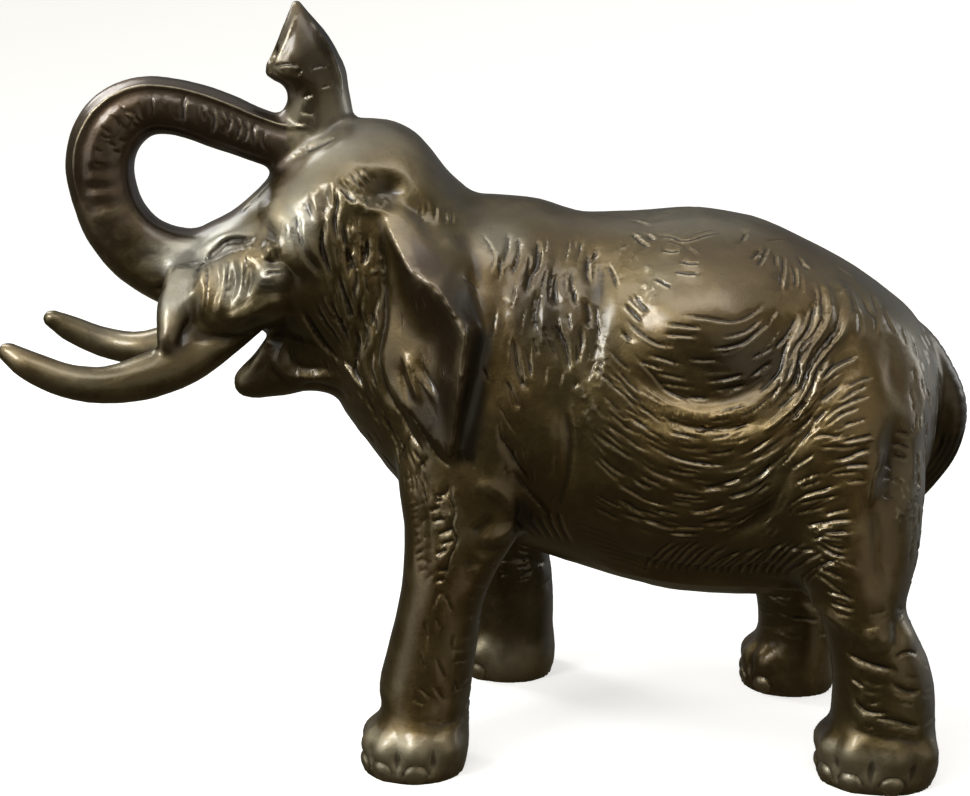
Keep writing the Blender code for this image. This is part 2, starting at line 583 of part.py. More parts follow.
def head_relief(chisel):
    c = chisel
    for side in (-1, 1):
        # the nose hangs over the cheek
        c.stroke("head", side, ((-84, 139.5), (-80, 143.6), (-75, 148), (-69, 150.4), (-64, 151.6)), 1.7, -1.7, lip=1.0)
        c.mound("head", side, (-73, 141), (10, 14, 8), -2.4)
        # margin of the cheek over the tusk, and the rolled lip behind it
        c.stroke("head", side, ((-86, 123.5), (-78, 123.6), (-70, 123), (-63, 124)), 1.5, -1.2)
        c.stroke("head", side, ((-83.6, 134), (-83.1, 129), (-82.8, 123)), 1.3, -1.3)
        c.stroke("head", side, ((-75, 128.6), (-69.5, 129.4), (-64.8, 132), (-60.5, 134.2), (-56, 133)), 1.8, 1.5)
        c.mound("head", side, (-65, 127.4), (6, 12, 3.6), -1.2)
        # eye, its lower lid and the pad that comes down from the temple
        c.mound("head", side, (-60, 140.4), (7.5, 10, 5.6), 1.9)
        c.mound("head", side, (-60, 148.2), (3.4, 6, 2.6), 1.3)
        c.stroke("head", side, ((-63.5, 153), (-58, 147), (-52.5, 141), (-47, 137)), 1.5, -1.3, lip=0.9)
        c.stroke("head", side, ((-55, 162), (-53.5, 152), (-50, 142)), 4.2, 1.7, ends=0.35)
        c.stroke("head", side, ((-50.5, 164), (-50.4, 150), (-46, 138)), 1.6, -1.2)
        # folds and hollows of the temple
        for x, top, foot, deep in ((-46, 164, 141, 0.7), (-42.4, 166, 138, 0.9), (-38.6, 158, 132, 0.8), (-35, 152, 126, 0.7)):
            c.stroke("head", side, ((x, top), (x - 1, (top + foot) / 2), (x + 1.5, foot)), 1.4, -deep)
        c.mound("head", side, (-27.6, 165), (9, 12, 7.6), -2.3)
        c.stroke("head", side, ((-41, 158), (-35, 158.4), (-30, 157.4), (-26, 158.4)), 2.4, 1.1)
        c.stroke("head", side, ((-27, 161), (-19.5, 156), (-13, 152), (-7, 145)), 3.0, -2.0)
        c.stroke("head", side, ((-47, 167.5), (-39, 170.4), (-31, 171), (-23, 168)), 3.2, 1.5)
        c.mound("head", side, (-37.5, 143), (5, 9, 9), -1.2)
        # jaw
        c.stroke("head", side, ((-56.5, 132), (-52.6, 124), (-50, 115), (-45, 111.6), (-38, 111)), 1.8, 1.4)
        c.stroke("head", side, ((-58.6, 127), (-61.4, 118), (-64, 108)), 2.0, 1.0)
        c.stroke("head", side, ((-56, 122), (-56.6, 113), (-53, 108)), 2.2, -1.0)
        # ear: dished face, two folds, and the gap in front of it
        c.mound("head", side, (-17, 124), (11, 9, 17), -1.3)
        c.stroke("head", side, ((-27, 128.5), (-24.5, 123), (-21, 117)), 1.3, 0.9)
        c.stroke("head", side, ((-26.5, 117.6), (-20, 110), (-14, 102.5)), 1.5, 1.0)
        c.stroke("head", side, ((-31.6, 154), (-30.6, 146), (-29.4, 136), (-29, 127.5), (-32, 120), (-32.6, 114), (-30.4, 107.5), (-26, 102.5)),
                 1.7, -1.9, ends=0.12)


def body_relief(chisel):
    c = chisel
    for side in (-1, 1):
        # shoulder
        c.mound("body", side, (6, 146), (9, 14, 14), 1.6)
        c.stroke("body", side, ((-4, 152), (-3, 142), (0, 130)), 2.6, -1.2)
        c.stroke("body", side, ((24, 118), (26.6, 101), (27, 87), (25, 76)), 2.4, -1.4)
        c.mound("body", side, (10, 96), (15, 16, 24), 1.4)
        # flank: a smooth swelling, and the loose skin hanging below it
        c.mound("body", side, (62, 135), (27, 18, 19), 1.8)
        c.stroke("body", side, ((47, 112), (54, 107), (63, 105.5), (74, 108.5), (81, 117), (89, 126), (98, 133)), 2.8, 1.7, ends=0.25)
        c.stroke("body", side, ((50, 105), (62, 100.5), (75, 103.5), (84, 112), (93, 121)), 2.4, -1.1, ends=0.3)
        c.stroke("body", side, ((92, 148), (100, 142), (102.5, 135), (97, 127)), 2.2, 1.1)
        c.mound("body", side, (101, 106), (18, 16, 26), 1.8)
        c.mound("body", side, (80, 76), (11, 14, 15), -1.6)
        # roll along the belly, running into the front of the thigh
        c.stroke("body", side, ((32, 60), (46, 55.6), (63, 53.4), (79, 56), (92, 54.5), (101, 50), (107, 43)), 2.4, 1.3, ends=0.15)
        c.stroke("body", side, ((36, 64), (50, 60.5), (66, 59), (80, 62), (90, 62)), 2.6, -1.0, ends=0.2)
        # rump
        c.stroke("body", side, ((112, 128), (113.5, 114), (111.5, 96), (109, 78)), 2.2, -1.1)
        c.stroke("body", side, ((117.5, 124), (120, 110), (118.5, 92)), 3.0, 0.8)
    for side, table, knee in ((-1, HIND_LEFT, 110), (1, HIND_RIGHT, 96)):
        c.mound("body", side, (knee, 46), (7, 9, 7), 1.3)
        c.mound("body", side, (knee + 10, 43.5), (5.5, 8, 5.5), 1.1)
    for side, knee in ((-1, -10), (1, 5)):
        c.stroke("body", side, ((knee + 1, 84), (knee, 68), (knee + 0.5, 50)), 2.6, 0.9)
        c.stroke("body", side, ((knee - 6, 82), (knee - 6, 66), (knee - 5, 52)), 2.2, -0.7)
        c.stroke("body", side, ((knee + 15, 78), (knee + 10.5, 66), (knee + 8, 54)), 2.4, -0.8)
    # toes: a swelling with a nail on it, and creases between
    for side, front, back, middle, half in feet():
        long = (back - front) / 2
        centre = (front + back) / 2
        for lean in (-72, -36, 0, 36, 72):
            a = math.radians(lean)
            x, y = centre - math.cos(a) * long, middle + math.sin(a) * half
            c.mound("body", side, (x, y, 6.5), (4.6, 4.6, 6.5), 1.3)
            c.mound("body", side, (x, y, 3.6), (3.2, 3.2, 3.6), 0.7)
        for lean in (-54, -18, 18, 54):
            a = math.radians(lean)
            x, y = centre - math.cos(a) * long, middle + math.sin(a) * half
            c.mound("body", side, (x, y, 5.5), (2.2, 2.2, 7), -1.0)


TRUNK_RIBS = tuple((22 + 5.6 * i + 1.1 * math.sin(2.3 * i), 2.2 * math.sin(1.7 * i), 0.75 + 0.25 * math.sin(3.1 * i + 1))
                   for i in range(22))


def shaped(made, voxel):
    """Fillets the joined skin, then presses the larger relief into it."""
    skin = Skin(made.data)
    skin.smooth(4)
    skin.fillet(FILLET_PASSES, 0.02)
    skin.smooth(3)
    chisel = Chisel(skin)
    head_relief(chisel)
    body_relief(chisel)
    trunk_relief(chisel, TRUNK_RIBS, 0.45, 1.4)
    for side in (-1, 1):   # nostrils
        chisel.mound("head", side, (-60.4, side * 2.7, 200.5), (3.4, 2.2, 3.6), -2.6)
    chisel.done()
    skin.p[skin.p[:, 2] < 1.0, 2] = 0.0   # the soles stay flat
    skin.store()
    return skin


def material():
    bronze = bpy.data.materials.new("bronze")
    bronze.use_nodes = True
    shader = bronze.node_tree.nodes["Principled BSDF"]
    shader.inputs["Base Color"].default_value = (0.105, 0.078, 0.04, 1)
    shader.inputs["Metallic"].default_value = 1.0
    shader.inputs["Roughness"].default_value = 0.38
    bronze.diffuse_color = (0.16, 0.12, 0.07, 1)
    return bronze


def main():
    for old in list(bpy.data.objects):
        bpy.data.objects.remove(old)
    elephant = joined(masses(), "elephant", VOXEL)
    shaped(elephant, VOXEL)
    thin = elephant.modifiers.new("facets", "DECIMATE")
    thin.ratio = TRIANGLES / (2 * len(elephant.data.polygons))
    elephant = baked(elephant)
    data = elephant.data
    points = np.empty(len(data.vertices) * 3)
    data.vertices.foreach_get("co", points)
    points = points.reshape(-1, 3)
    points[points[:, 2] < 0.4, 2] = 0.0
    low, high = points.min(axis=0), points.max(axis=0)
    points -= ((low[0] + high[0]) / 2, (low[1] + high[1]) / 2, low[2])
    data.vertices.foreach_set("co", (points * MM).ravel())
    data.update()
    data.materials.clear()
    data.materials.append(material())
    home = bpy.data.collections.new("bronze_elephant")
    bpy.context.scene.collection.children.link(home)
    bpy.context.scene.collection.objects.unlink(elephant)
    home.objects.link(elephant)


if __name__ == "__main__":
    main()
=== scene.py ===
"""The bronze elephant as it looks: a cast, dark brown statuette with chased wrinkles and a worn patina.

The casting's masses are lofted from the named sizes below, joined by a voxel Remesh, filleted, and
pressed with the larger folds.  Then it is made finer wherever a cut will pass, and the chasing is
cut: grooves that follow the loose skin, punched rough patches, rings round the trunk and ankles, nails.  What each
point of the skin then is (a groove, a rubbed ridge, a hollow, which tone of patina, and where highlight, light and
shade are painted into its colour) is kept in attributes that the bronze material reads.  Lengths are in millimetres
until the skin is set into the CAD's box.
"""

import json
import math

import bmesh
import bpy
import numpy as np
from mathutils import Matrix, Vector
from mathutils.kdtree import KDTree

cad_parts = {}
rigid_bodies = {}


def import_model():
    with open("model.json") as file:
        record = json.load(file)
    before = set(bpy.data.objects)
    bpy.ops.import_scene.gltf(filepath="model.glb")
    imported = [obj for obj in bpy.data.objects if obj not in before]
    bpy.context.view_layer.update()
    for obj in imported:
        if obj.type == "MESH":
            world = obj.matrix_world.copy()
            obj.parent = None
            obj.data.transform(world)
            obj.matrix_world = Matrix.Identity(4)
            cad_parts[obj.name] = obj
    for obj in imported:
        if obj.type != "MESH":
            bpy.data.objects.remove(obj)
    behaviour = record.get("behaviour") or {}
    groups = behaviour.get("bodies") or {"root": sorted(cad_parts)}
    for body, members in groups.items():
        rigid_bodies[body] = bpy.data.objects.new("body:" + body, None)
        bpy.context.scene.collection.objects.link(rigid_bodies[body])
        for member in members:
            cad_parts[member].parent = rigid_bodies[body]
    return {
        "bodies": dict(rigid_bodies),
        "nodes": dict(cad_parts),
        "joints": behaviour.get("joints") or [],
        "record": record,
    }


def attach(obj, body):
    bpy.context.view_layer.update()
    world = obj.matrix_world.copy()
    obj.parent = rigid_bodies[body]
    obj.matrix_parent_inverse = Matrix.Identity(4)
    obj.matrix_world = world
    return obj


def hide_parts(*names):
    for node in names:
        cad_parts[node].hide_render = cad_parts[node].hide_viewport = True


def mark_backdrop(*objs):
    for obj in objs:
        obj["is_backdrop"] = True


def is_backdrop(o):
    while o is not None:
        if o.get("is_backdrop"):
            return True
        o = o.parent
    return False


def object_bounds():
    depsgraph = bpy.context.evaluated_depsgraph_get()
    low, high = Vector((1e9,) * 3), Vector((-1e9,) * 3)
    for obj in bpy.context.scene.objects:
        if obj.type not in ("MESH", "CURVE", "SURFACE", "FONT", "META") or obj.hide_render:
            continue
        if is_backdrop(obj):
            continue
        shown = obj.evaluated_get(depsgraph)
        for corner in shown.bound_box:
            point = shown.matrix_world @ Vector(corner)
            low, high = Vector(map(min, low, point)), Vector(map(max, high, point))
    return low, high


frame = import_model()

CAD_BOX = [list(corner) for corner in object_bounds()]

# ------------------------------------------------------------------ sizes (mm)

HEAD_TURN = math.radians(10.0)   # the head looks this far towards its left side (-Y)
NECK_PIVOT_X = -10.0
NECK_BACK_X, NECK_FRONT_X = 14.0, -26.0   # the turn grows from none to full between these

# barrel: x, back height, belly height, half width, height of the widest line
BARREL = (
    (-46, 140, 107.5, 12, 122), (-42, 148, 98.5, 20, 121), (-36, 154, 90.2, 26, 119),
    (-30, 158, 82.5, 30, 117), (-22, 160, 72.8, 34, 114), (-12, 160.9, 65, 37, 111),
    (0, 160.9, 60, 39, 108), (13, 160.2, 56.6, 40.5, 104), (30, 156, 51.6, 42, 99),
    (44, 156.4, 47.8, 43.5, 95), (59, 157.6, 45, 44.5, 92), (75, 155.5, 44.3, 44.5, 92),
    (93, 148.3, 45.4, 43.5, 94), (105, 141.9, 50.5, 41, 97), (115, 135.2, 58.5, 36.5, 100),
    (122, 129.2, 69, 29.5, 101), (127, 122.5, 80, 20.5, 102), (130, 115, 90, 11, 103),
    (131, 108, 97, 4, 103),
)
# head and neck, before the turn: x, top, bottom, half width, height of the widest line
HEAD = (
    (-100, 145, 134, 7, 140), (-92, 148.6, 130, 10, 140), (-86, 150, 127, 12, 139),
    (-80, 152.7, 125, 14, 139), (-73, 156.2, 123, 16.5, 139.5), (-66, 161.8, 122.5, 19.5, 141),
    (-60, 167.8, 120.5, 22, 143), (-53, 173.3, 116.5, 24.5, 146), (-46, 178.6, 112, 26, 149),
    (-40, 181.6, 107, 27, 150), (-34, 182.6, 103.8, 27.5, 150), (-28, 182.1, 100, 28, 149),
    (-20, 178.7, 95.5, 29, 145), (-15, 173.3, 95, 30, 140), (-9, 166, 94, 31, 136),
    (-2, 160.9, 95, 32.5, 130), (8, 159.5, 98, 33, 124), (20, 156, 104, 30, 122),
)
# trunk, in the middle plane of the head: x, z, half depth, half width
TRUNK = (
    (-72, 138, 13, 13), (-84, 139, 12.4, 11.6), (-93.4, 142, 11, 10.4),
    (-100.7, 146.8, 10.1, 9.6), (-105.8, 153.8, 9.5, 9.1), (-108.4, 161.4, 9.3, 8.8),
    (-109.3, 169, 9.5, 8.6), (-107.7, 176.1, 9.4, 8.4), (-103.4, 182.1, 9.1, 8.2),
    (-96.5, 185.7, 8.3, 8), (-88.8, 185.8, 7.9, 7.8), (-81, 184, 8, 7.6),
    (-73.4, 181.2, 8, 7.5), (-66.5, 178.4, 7.6, 7.4), (-58, 175.5, 7.6, 7.4),
    (-49, 174, 7.6, 7.6),
)
# the upturned end of the trunk: z, front x, back x, half width
TRUNK_END = (
    (172, -56, -40, 6.5), (178, -58.2, -38.4, 7.6), (184, -57.6, -37.6, 8.2), (188.5, -55.8, -38.2, 8.4),
    (191.3, -56.6, -38.7, 8.4), (193.6, -60.9, -39.0, 8.3), (196.3, -62.1, -39.5, 8.1),
    (201, -59.8, -41.7, 7.4), (206.5, -57.5, -44.8, 5.6), (211.3, -55.4, -49, 3.4),
    (214.9, -53.9, -52.0, 1.2),
)
# tusk, on one side of the head: x, distance from the middle plane, z, radius
TUSK = (
    (-54, 11, 140, 6.8), (-62, 13, 134.2, 6.8), (-68, 15, 129.6, 6.8), (-74, 17.2, 124.7, 6.8),
    (-84, 21, 117.5, 6.8), (-94.5, 25.5, 113.4, 6.4), (-105, 29.2, 111.7, 5.2),
    (-115, 31.2, 113.1, 4.7), (-125.4, 31.2, 117.6, 4.1), (-131.2, 29.9, 121.2, 2.8),
)
# lower jaw: x, top, bottom, half width, before the turn
JAW = (
    (-73.6, 108.3, 104.6, 2.4), (-71.8, 110.4, 102.4, 4.4), (-67.4, 114.9, 101.4, 6.4),
    (-63.2, 120.4, 101.8, 8.0), (-58, 124.5, 102.4, 9.8), (-52, 128, 103.6, 12),
    (-45, 131.5, 102.5, 15), (-38, 134, 98, 18.5), (-28, 134, 93, 21), (-16, 130, 91, 23),
)
# cheek over each tusk root, before the turn: x, top, bottom, middle, half width, widest height
SHEATH = (
    (-87, 137, 127, 11, 3.4, 131), (-84.4, 140.4, 124.4, 12.8, 7.6, 131), (-80, 143.4, 123.4, 14.4, 10.4, 131),
    (-75, 146, 123, 15, 12, 132), (-68, 149, 124, 15.5, 12.6, 135), (-61, 152, 126, 15, 12.2, 139),
    (-54, 153, 129, 13, 12, 142), (-48, 151, 134, 11, 11, 144),
)
# tail: x, y, z, radius
TAIL = (
    (110, 0, 124, 7), (118, 0, 122, 6.6), (124.4, 0, 118, 6.3), (130, 0, 110.6, 5.9),
    (134.7, 0.5, 101, 5.6), (134.2, 1.5, 89, 5.3), (127.8, 2.8, 77.4, 5.0), (119, 3.6, 70, 4.6),
)
# legs: z, front x, back x, distance of the middle from the middle plane, half width
FRONT_LEFT = (
    (0, -31.2, -2.4, 36.8, 13.6), (3.5, -32, -1.6, 36.8, 14), (8, -31, -1.2, 36.5, 13.9),
    (13, -28.8, -1.4, 35.8, 13.2), (17.5, -26.4, -1.3, 35.2, 12.4), (23, -27.2, -0.8, 34.4, 12.2),
    (34, -24.9, 0.6, 33.2, 12.2), (46, -22, 2.2, 31.8, 12.4), (57, -20.5, 6.2, 30.4, 13),
    (68, -20.2, 12.6, 29, 14), (80, -21.8, 19, 27.6, 14.6), (94, -22.5, 24, 26.4, 14.6),
    (108, -21, 26, 25.4, 14), (120, -16, 22, 24, 12.4), (130, -8, 14, 22, 9),
)
FRONT_RIGHT = (
    (0, -10, 18.8, 37.4, 12.8), (3.5, -10.8, 20.2, 37.4, 13.4), (8, -9.8, 20.4, 37.2, 13.5),
    (13, -8, 20, 36.6, 13.2), (18, -6.2, 19.6, 35.6, 12.4), (25, -6.4, 19.8, 34.6, 12.2),
    (34, -6.8, 19.4, 33.4, 12.2), (46, -8, 18, 31.8, 12.4), (57, -10.5, 17.8, 30.4, 13),
    (68, -14, 19.4, 29, 14), (80, -18.5, 22, 27.6, 14.6), (94, -22, 25, 26.4, 14.6),
    (108, -21, 26, 25.4, 14), (120, -16, 22, 24, 12.4), (130, -8, 14, 22, 9),
)
HIND_LEFT = (
    (0, 98, 129, 33, 12.6), (3.5, 97.4, 130.8, 33, 13.6), (8, 97.6, 131, 33, 13.9),
    (13, 99, 130, 33.2, 14.4), (19, 101, 129.2, 33.2, 14.0), (27, 101, 128.6, 33, 13.8),
    (35, 100, 126.8, 32.6, 13.6), (43, 98, 123, 32, 13.8), (51, 94.8, 119.8, 31.2, 14.4),
    (60, 89, 121.6, 29.8, 15.2), (71, 83, 123.4, 28, 16.2), (84, 79, 124, 26, 17),
    (98, 77, 123.4, 24.4, 17.2), (112, 78, 120, 22.8, 16.4), (124, 84, 112, 21, 13.4),
    (132, 90, 106, 19, 9),
)
HIND_RIGHT = (
    (0, 82, 110.8, 35, 14.2), (3.5, 81.4, 112.6, 35, 15), (8, 82, 112.8, 35, 15.2),
    (13, 84.8, 112.6, 34.8, 15), (19, 86.8, 112.2, 34.4, 14.2), (27, 86.2, 111, 33.8, 13.8),
    (35, 84.2, 109, 33.2, 13.6), (43, 82.8, 108, 32.4, 13.8), (51, 80.4, 110, 31.4, 14.4),
    (60, 78.6, 115.4, 30, 15.2), (71, 77, 120.4, 28, 16.2), (84, 76, 123, 26, 17),
    (98, 77, 123.4, 24.4, 17.2), (112, 78, 120, 22.8, 16.4), (124, 84, 112, 21, 13.4),
    (132, 90, 106, 19, 9),
)
# ear, before the turn.  Rim of the outer face from the top down the free edge and back up the root:
# x, distance from the middle plane, z, then how far towards the tail and up the back of the ear lies
EAR = (
    (-30.4, 28.5, 156.8, 4, 3), (-24.2, 39, 143.7, 10, 10), (-15.6, 43.5, 139.2, 10.5, 7),
    (-4.0, 47.8, 127.6, 9.5, -1), (-5.8, 47.2, 116.8, 9, -2), (-7.8, 46.2, 106.3, 9, -2),
    (-10.5, 43.7, 92, 8.4, -1), (-20.8, 38.4, 98.8, 9, 2), (-25.8, 34.6, 104.3, 9, 3),
    (-29.3, 31.4, 109, 9, 3), (-30.8, 29.4, 114.9, 9, 2), (-29.9, 28.6, 120.4, 8, 1),
    (-27.1, 29, 126.8, 6, 0), (-27.5, 29, 136.5, 6, 0), (-29, 28.5, 146, 5, 1),
)


# ------------------------------------------------------------------ chasing (mm)
# loose skin of the flank: x, z along each fold line, from the shoulder round under the bulge
FLANK = (
    ((54.9, 133.5), (60.9, 132.5), (68.2, 131.8), (71.5, 133.2), (74.5, 135.3), (76.4, 137.7), (77.3, 140.3), (77.5, 143.7)),
    ((40.7, 132.5), (46.2, 127.6), (49.4, 125.2), (54.1, 124.5), (61.2, 124.1), (66.3, 124.2), (71.7, 125.8), (76.7, 129.6), (79.7, 133.1), (82.1, 136.7), (81.6, 142.5), (80.5, 149.4)),
    ((34.5, 124.7), (42, 117.4), (49.8, 110.8), (58.5, 107.7), (61.2, 106.1), (66.9, 107.3), (74.4, 109.1), (80.4, 114.5), (86.4, 125.5), (89.2, 131.1), (91.5, 136.3), (89.7, 142)),
    ((34.4, 113.5), (42.2, 106.8), (53.1, 101.9), (61.9, 98.8), (70.5, 100.6), (75.1, 103.7), (80.7, 107.6), (85.4, 112), (88.2, 119.2), (90.1, 122.9), (94.5, 128.3), (96.8, 133.3)),
    ((33.7, 108.9), (42.3, 101.1), (48, 97.1), (52.2, 95.3), (58.9, 93.5), (66.9, 92.3), (73.9, 93.3), (79.5, 97), (84.6, 100.6), (90.7, 109.1), (96.8, 115.9)),
    ((31.9, 104.7), (39.2, 98.6), (44.8, 94.3), (47.6, 91.6), (53.5, 89), (63.4, 86.2), (73, 88.4), (79.7, 92.4), (83.3, 95.4), (89.5, 102.6), (94.6, 109.2)),
    ((30.7, 98.4), (39.4, 89), (47, 82.8), (53.7, 81), (63, 80.4), (73.2, 82.8), (79.4, 86.9), (83.6, 92.7)),
    ((29.4, 90.1), (34.1, 84.7), (40, 81.2), (46.3, 78.6), (54.4, 75.1), (62.6, 74.8), (70.6, 76.4), (76.6, 78.8), (81.1, 83)),
    ((28.2, 81.7), (32.3, 77.9), (38.6, 74.2), (46.4, 71), (54.5, 69), (62, 69.2), (69, 70.6)),
)
# the edge where the nose hangs over the cheek, before the turn: x, z
LIP = ((-83.4, 138.7), (-80.9, 142.8), (-79.1, 144.5), (-75.5, 147.6), (-72.6, 149.3), (-67.3, 150.1), (-64.4, 152))
# haunch: x, z along each line, from the upper left of the thigh down its front
HAUNCH = (
    ((102.7, 121.4), (97.8, 119.6), (91.7, 114.6), (86.5, 109.5)),
    ((107.4, 115.6), (102.7, 114.4), (98.7, 111.5), (93.7, 108.1), (88.4, 103.6)),
    ((107.3, 112.4), (101.3, 109.7), (96.9, 106.4), (90.3, 101.8), (86, 98.2)),
    ((107.6, 107.3), (103.3, 105), (99.6, 103), (93.7, 100.6), (88.4, 96.8)),
    ((108.3, 101.6), (103.5, 100.2), (99, 99.3), (94, 98.2), (90.5, 96.4)),
    ((106.8, 97.7), (101, 95.6), (96.8, 94.9), (93.5, 93.5), (90, 91)),
    ((106, 93.4), (100.2, 92.6), (96.3, 91.5), (92.5, 88.7), (89, 86)),
    ((105, 88.6), (101, 87.4), (95.9, 85.3), (91.3, 83), (88.3, 80)),
    ((106, 85), (102.4, 84.1), (97.6, 82.6), (93, 80.7), (88.5, 77.4)),
    ((108, 80.9), (103.4, 80.1), (98.7, 79.1), (94.2, 76.9), (89, 73.8)),
    ((107.6, 75.5), (102, 74), (97.6, 73.6), (94, 73.4), (89.4, 70.8)),
    ((106, 69), (101.7, 70), (96.8, 70.3), (93.6, 71.4), (89.6, 69)),
    ((106.4, 65.4), (102.3, 66.6), (98.7, 67.4), (95.5, 68.8), (91.5, 67.2)),
    ((107, 62.4), (104.5, 63.4), (100.6, 65.3), (97.4, 66.8), (94, 66)),
    ((107.6, 57.6), (105.2, 59), (101.6, 60.1), (97.9, 62.8), (95, 63)),
    ((107.6, 54.4), (104.9, 55.6), (101.2, 56.4), (97.1, 58), (94, 59)),
)
# single marks on the shoulder, deeper ones first: x, z
SHOULDER = (
    ((8.7, 152.6), (8.7, 147.5), (7, 142.2)), ((11.6, 151.6), (11.5, 145.2), (9.8, 140.3)),
    ((17.4, 150.3), (17.2, 144.3), (15.2, 140.3), (14.3, 135.5)), ((22.1, 142), (22.1, 136.7), (23, 132.9)),
    ((24.5, 142.5), (24.1, 138.5)), ((27, 142.5), (26.6, 138.5), (28.4, 133)), ((28.9, 150.1), (28.2, 144.9)),
    ((26.7, 150.1), (26.8, 147.6)), ((33, 148.9), (32.6, 145.9), (30.5, 143), (31.5, 137.7)),
    ((29.9, 135.5), (31.4, 131.2), (31.2, 127.2)), ((28.7, 128.9), (29.6, 124.1), (28.2, 117.4)),
    ((20.6, 130.1), (24.6, 124), (26.6, 115.5)), ((18.8, 127.6), (23.3, 119.1)), ((16.2, 125.2), (18.2, 120.3)),
    ((17.7, 137.3), (16.9, 130.1), (17.5, 125.8)), ((11.1, 125.2), (12.6, 115.2), (16, 110.3)),
    ((14.4, 122.6), (16.4, 114)), ((8.9, 114.6), (13.3, 105.2)), ((7.1, 107.6), (12.3, 98.8)),
    ((7.1, 99.8), (14.2, 87.9), (15.5, 83.7)), ((11, 89.5), (14.7, 83.7), (21.7, 73.1)),
    ((1.1, 152.2), (4.9, 146.7), (4.6, 140.8)), ((-2.8, 140.9), (-0.1, 138.8), (1.6, 136.5)),
)
# thin marks on the upper flank, the groin and the back of the bulge: x, z
UPPER_FLANK = (
    ((42.1, 151.9), (45.1, 149.5), (47.6, 148.1)), ((46.5, 151.5), (48.7, 150)),
    ((49, 151.5), (53.3, 150.9), (57.4, 150.2), (62.4, 151.4), (67.4, 152.4)), ((50.6, 147.9), (53.8, 147.5), (55.7, 148)),
    ((55.4, 145.3), (58, 144.7), (61, 144.9)), ((53.7, 142.7), (58, 142.3), (60.9, 142.3)),
    ((48.1, 141), (50.8, 139.9), (53.7, 138.5)), ((74.1, 152.2), (72.2, 149.7)), ((77.9, 148.1), (74.6, 145.5)),
    ((80, 149.2), (78.2, 146.2), (76.1, 143.6)), ((81.7, 146.8), (81.4, 143.5)), ((84, 146.9), (83.5, 142.7), (82.4, 138.4)),
    ((86.5, 144), (87, 140.9), (86.5, 138.2)), ((88.3, 146), (89.4, 143.8), (91.5, 142.3)),
    ((41.7, 136.2), (44.2, 133.8), (46.8, 131.6)), ((43.1, 136.7), (45.2, 134.1), (47.4, 131.9)),
    ((40.7, 134.2), (43.1, 131.7), (45.8, 129.3)), ((35.4, 144), (37.6, 140.8), (38.7, 137.6)),
)
# folds that hang from the brow past the temple to the jaw, before the turn: x, z, depth
VEILS = (
    (((-43.5, 167), (-42.5, 160.7), (-43.2, 154), (-42, 147.2)), 0.6), (((-39.6, 158.1), (-40.3, 151.3), (-39.3, 143.9), (-40, 137.6)), 0.8),
    (((-45.9, 156.7), (-46.8, 149.9), (-45.6, 143.9), (-44.1, 137.6)), 0.8), (((-42.6, 143.9), (-41.6, 137.6), (-39.6, 131.1), (-39.1, 124.7)), 0.7),
    (((-37.8, 153.3), (-38.8, 145.8), (-37.5, 138.9), (-39, 132)), 0.6), (((-34.6, 152.7), (-34.4, 147.3), (-36.1, 142.2)), 0.5),
    (((-45, 136.2), (-43.7, 130.5), (-41.1, 124.6), (-39.8, 118.8)), 0.7), (((-49.9, 135.5), (-47.4, 128.9), (-43.9, 123), (-41.2, 117.1)), 0.6),
    (((-53.3, 133.3), (-50.2, 125.8), (-45.5, 118), (-41.3, 114.1)), 0.7), (((-35.3, 137.5), (-36.8, 130.6), (-35.3, 123.6), (-37.1, 116.3)), 0.6),
    (((-32.5, 143.2), (-31.3, 136.2), (-33, 129.2), (-32, 122.4)), 0.4), (((-47.7, 136.1), (-46.4, 131.8), (-43, 126)), 0.5),
    (((-39.1, 128.2), (-37.5, 121.9), (-38.5, 114.6), (-36.6, 109.1)), 0.7), (((-32.9, 120.9), (-34.3, 115.2), (-32.2, 108.3)), 0.5),
    (((-42.7, 116.8), (-38.5, 112.6), (-35.8, 107.8)), 0.6),
)
BROW = (
    ((-38.9, 168.1), (-36.8, 165.5), (-34.6, 163.4)), ((-37.2, 169.2), (-35.1, 166.5), (-33, 164.4)), ((-35.4, 169.6), (-33.5, 167.6), (-31.8, 166)),
    ((-40.3, 166.5), (-37.9, 163.4), (-35.8, 161.8)), ((-41.7, 164.4), (-39, 161.8), (-36.9, 160.8)), ((-40.4, 162), (-37.4, 160.4)),
)
TUFT = (((-17.6, 161.1), (-17, 156.6)), ((-14.1, 160.4), (-14.9, 154.7)), ((-11.3, 159), (-11.3, 153.8)), ((-19.7, 160.6), (-18.6, 154.8)), ((-9, 158), (-9.4, 154)))
# folds of the neck under the jaw and the ear, before the turn: x, z
NECK = (
    ((-29, 106.2), (-25.8, 102.2), (-23.1, 97.2), (-19.3, 92.8)), ((-25.8, 105.3), (-21.4, 100.4), (-17.1, 94.6)), ((-23.1, 99), (-25.1, 93.7), (-26.9, 88.2)),
    ((-19.3, 97.2), (-15.4, 92.5), (-10.1, 89.1)), ((-29.1, 98.4), (-27.4, 92.6), (-26.5, 85.9)), ((-32.3, 105.4), (-29.6, 99.9), (-28.5, 93.8)),
    ((-17.7, 92.2), (-20.9, 88.2), (-22.4, 84.1)), ((-36.4, 108), (-33.6, 101.6), (-31.6, 97)),
)
CHEEK = (
    ((-79.1, 146.2), (-78.1, 141.5), (-78.4, 135.2), (-79.2, 128.8)), ((-75.8, 147), (-74.7, 141.5), (-75, 134), (-76.7, 127)),
    ((-73.5, 148.1), (-72.5, 143.7), (-73.2, 136.5), (-74.3, 130.7)), ((-71.2, 148.2), (-70.2, 143.8), (-70.4, 137.9), (-72.1, 131.4)),
    ((-68.8, 148.5), (-67.6, 144), (-68.2, 138), (-69.3, 134.1)), ((-66.5, 145.1), (-65.9, 140.7), (-67.1, 136.2), (-68.5, 133.6)),
)



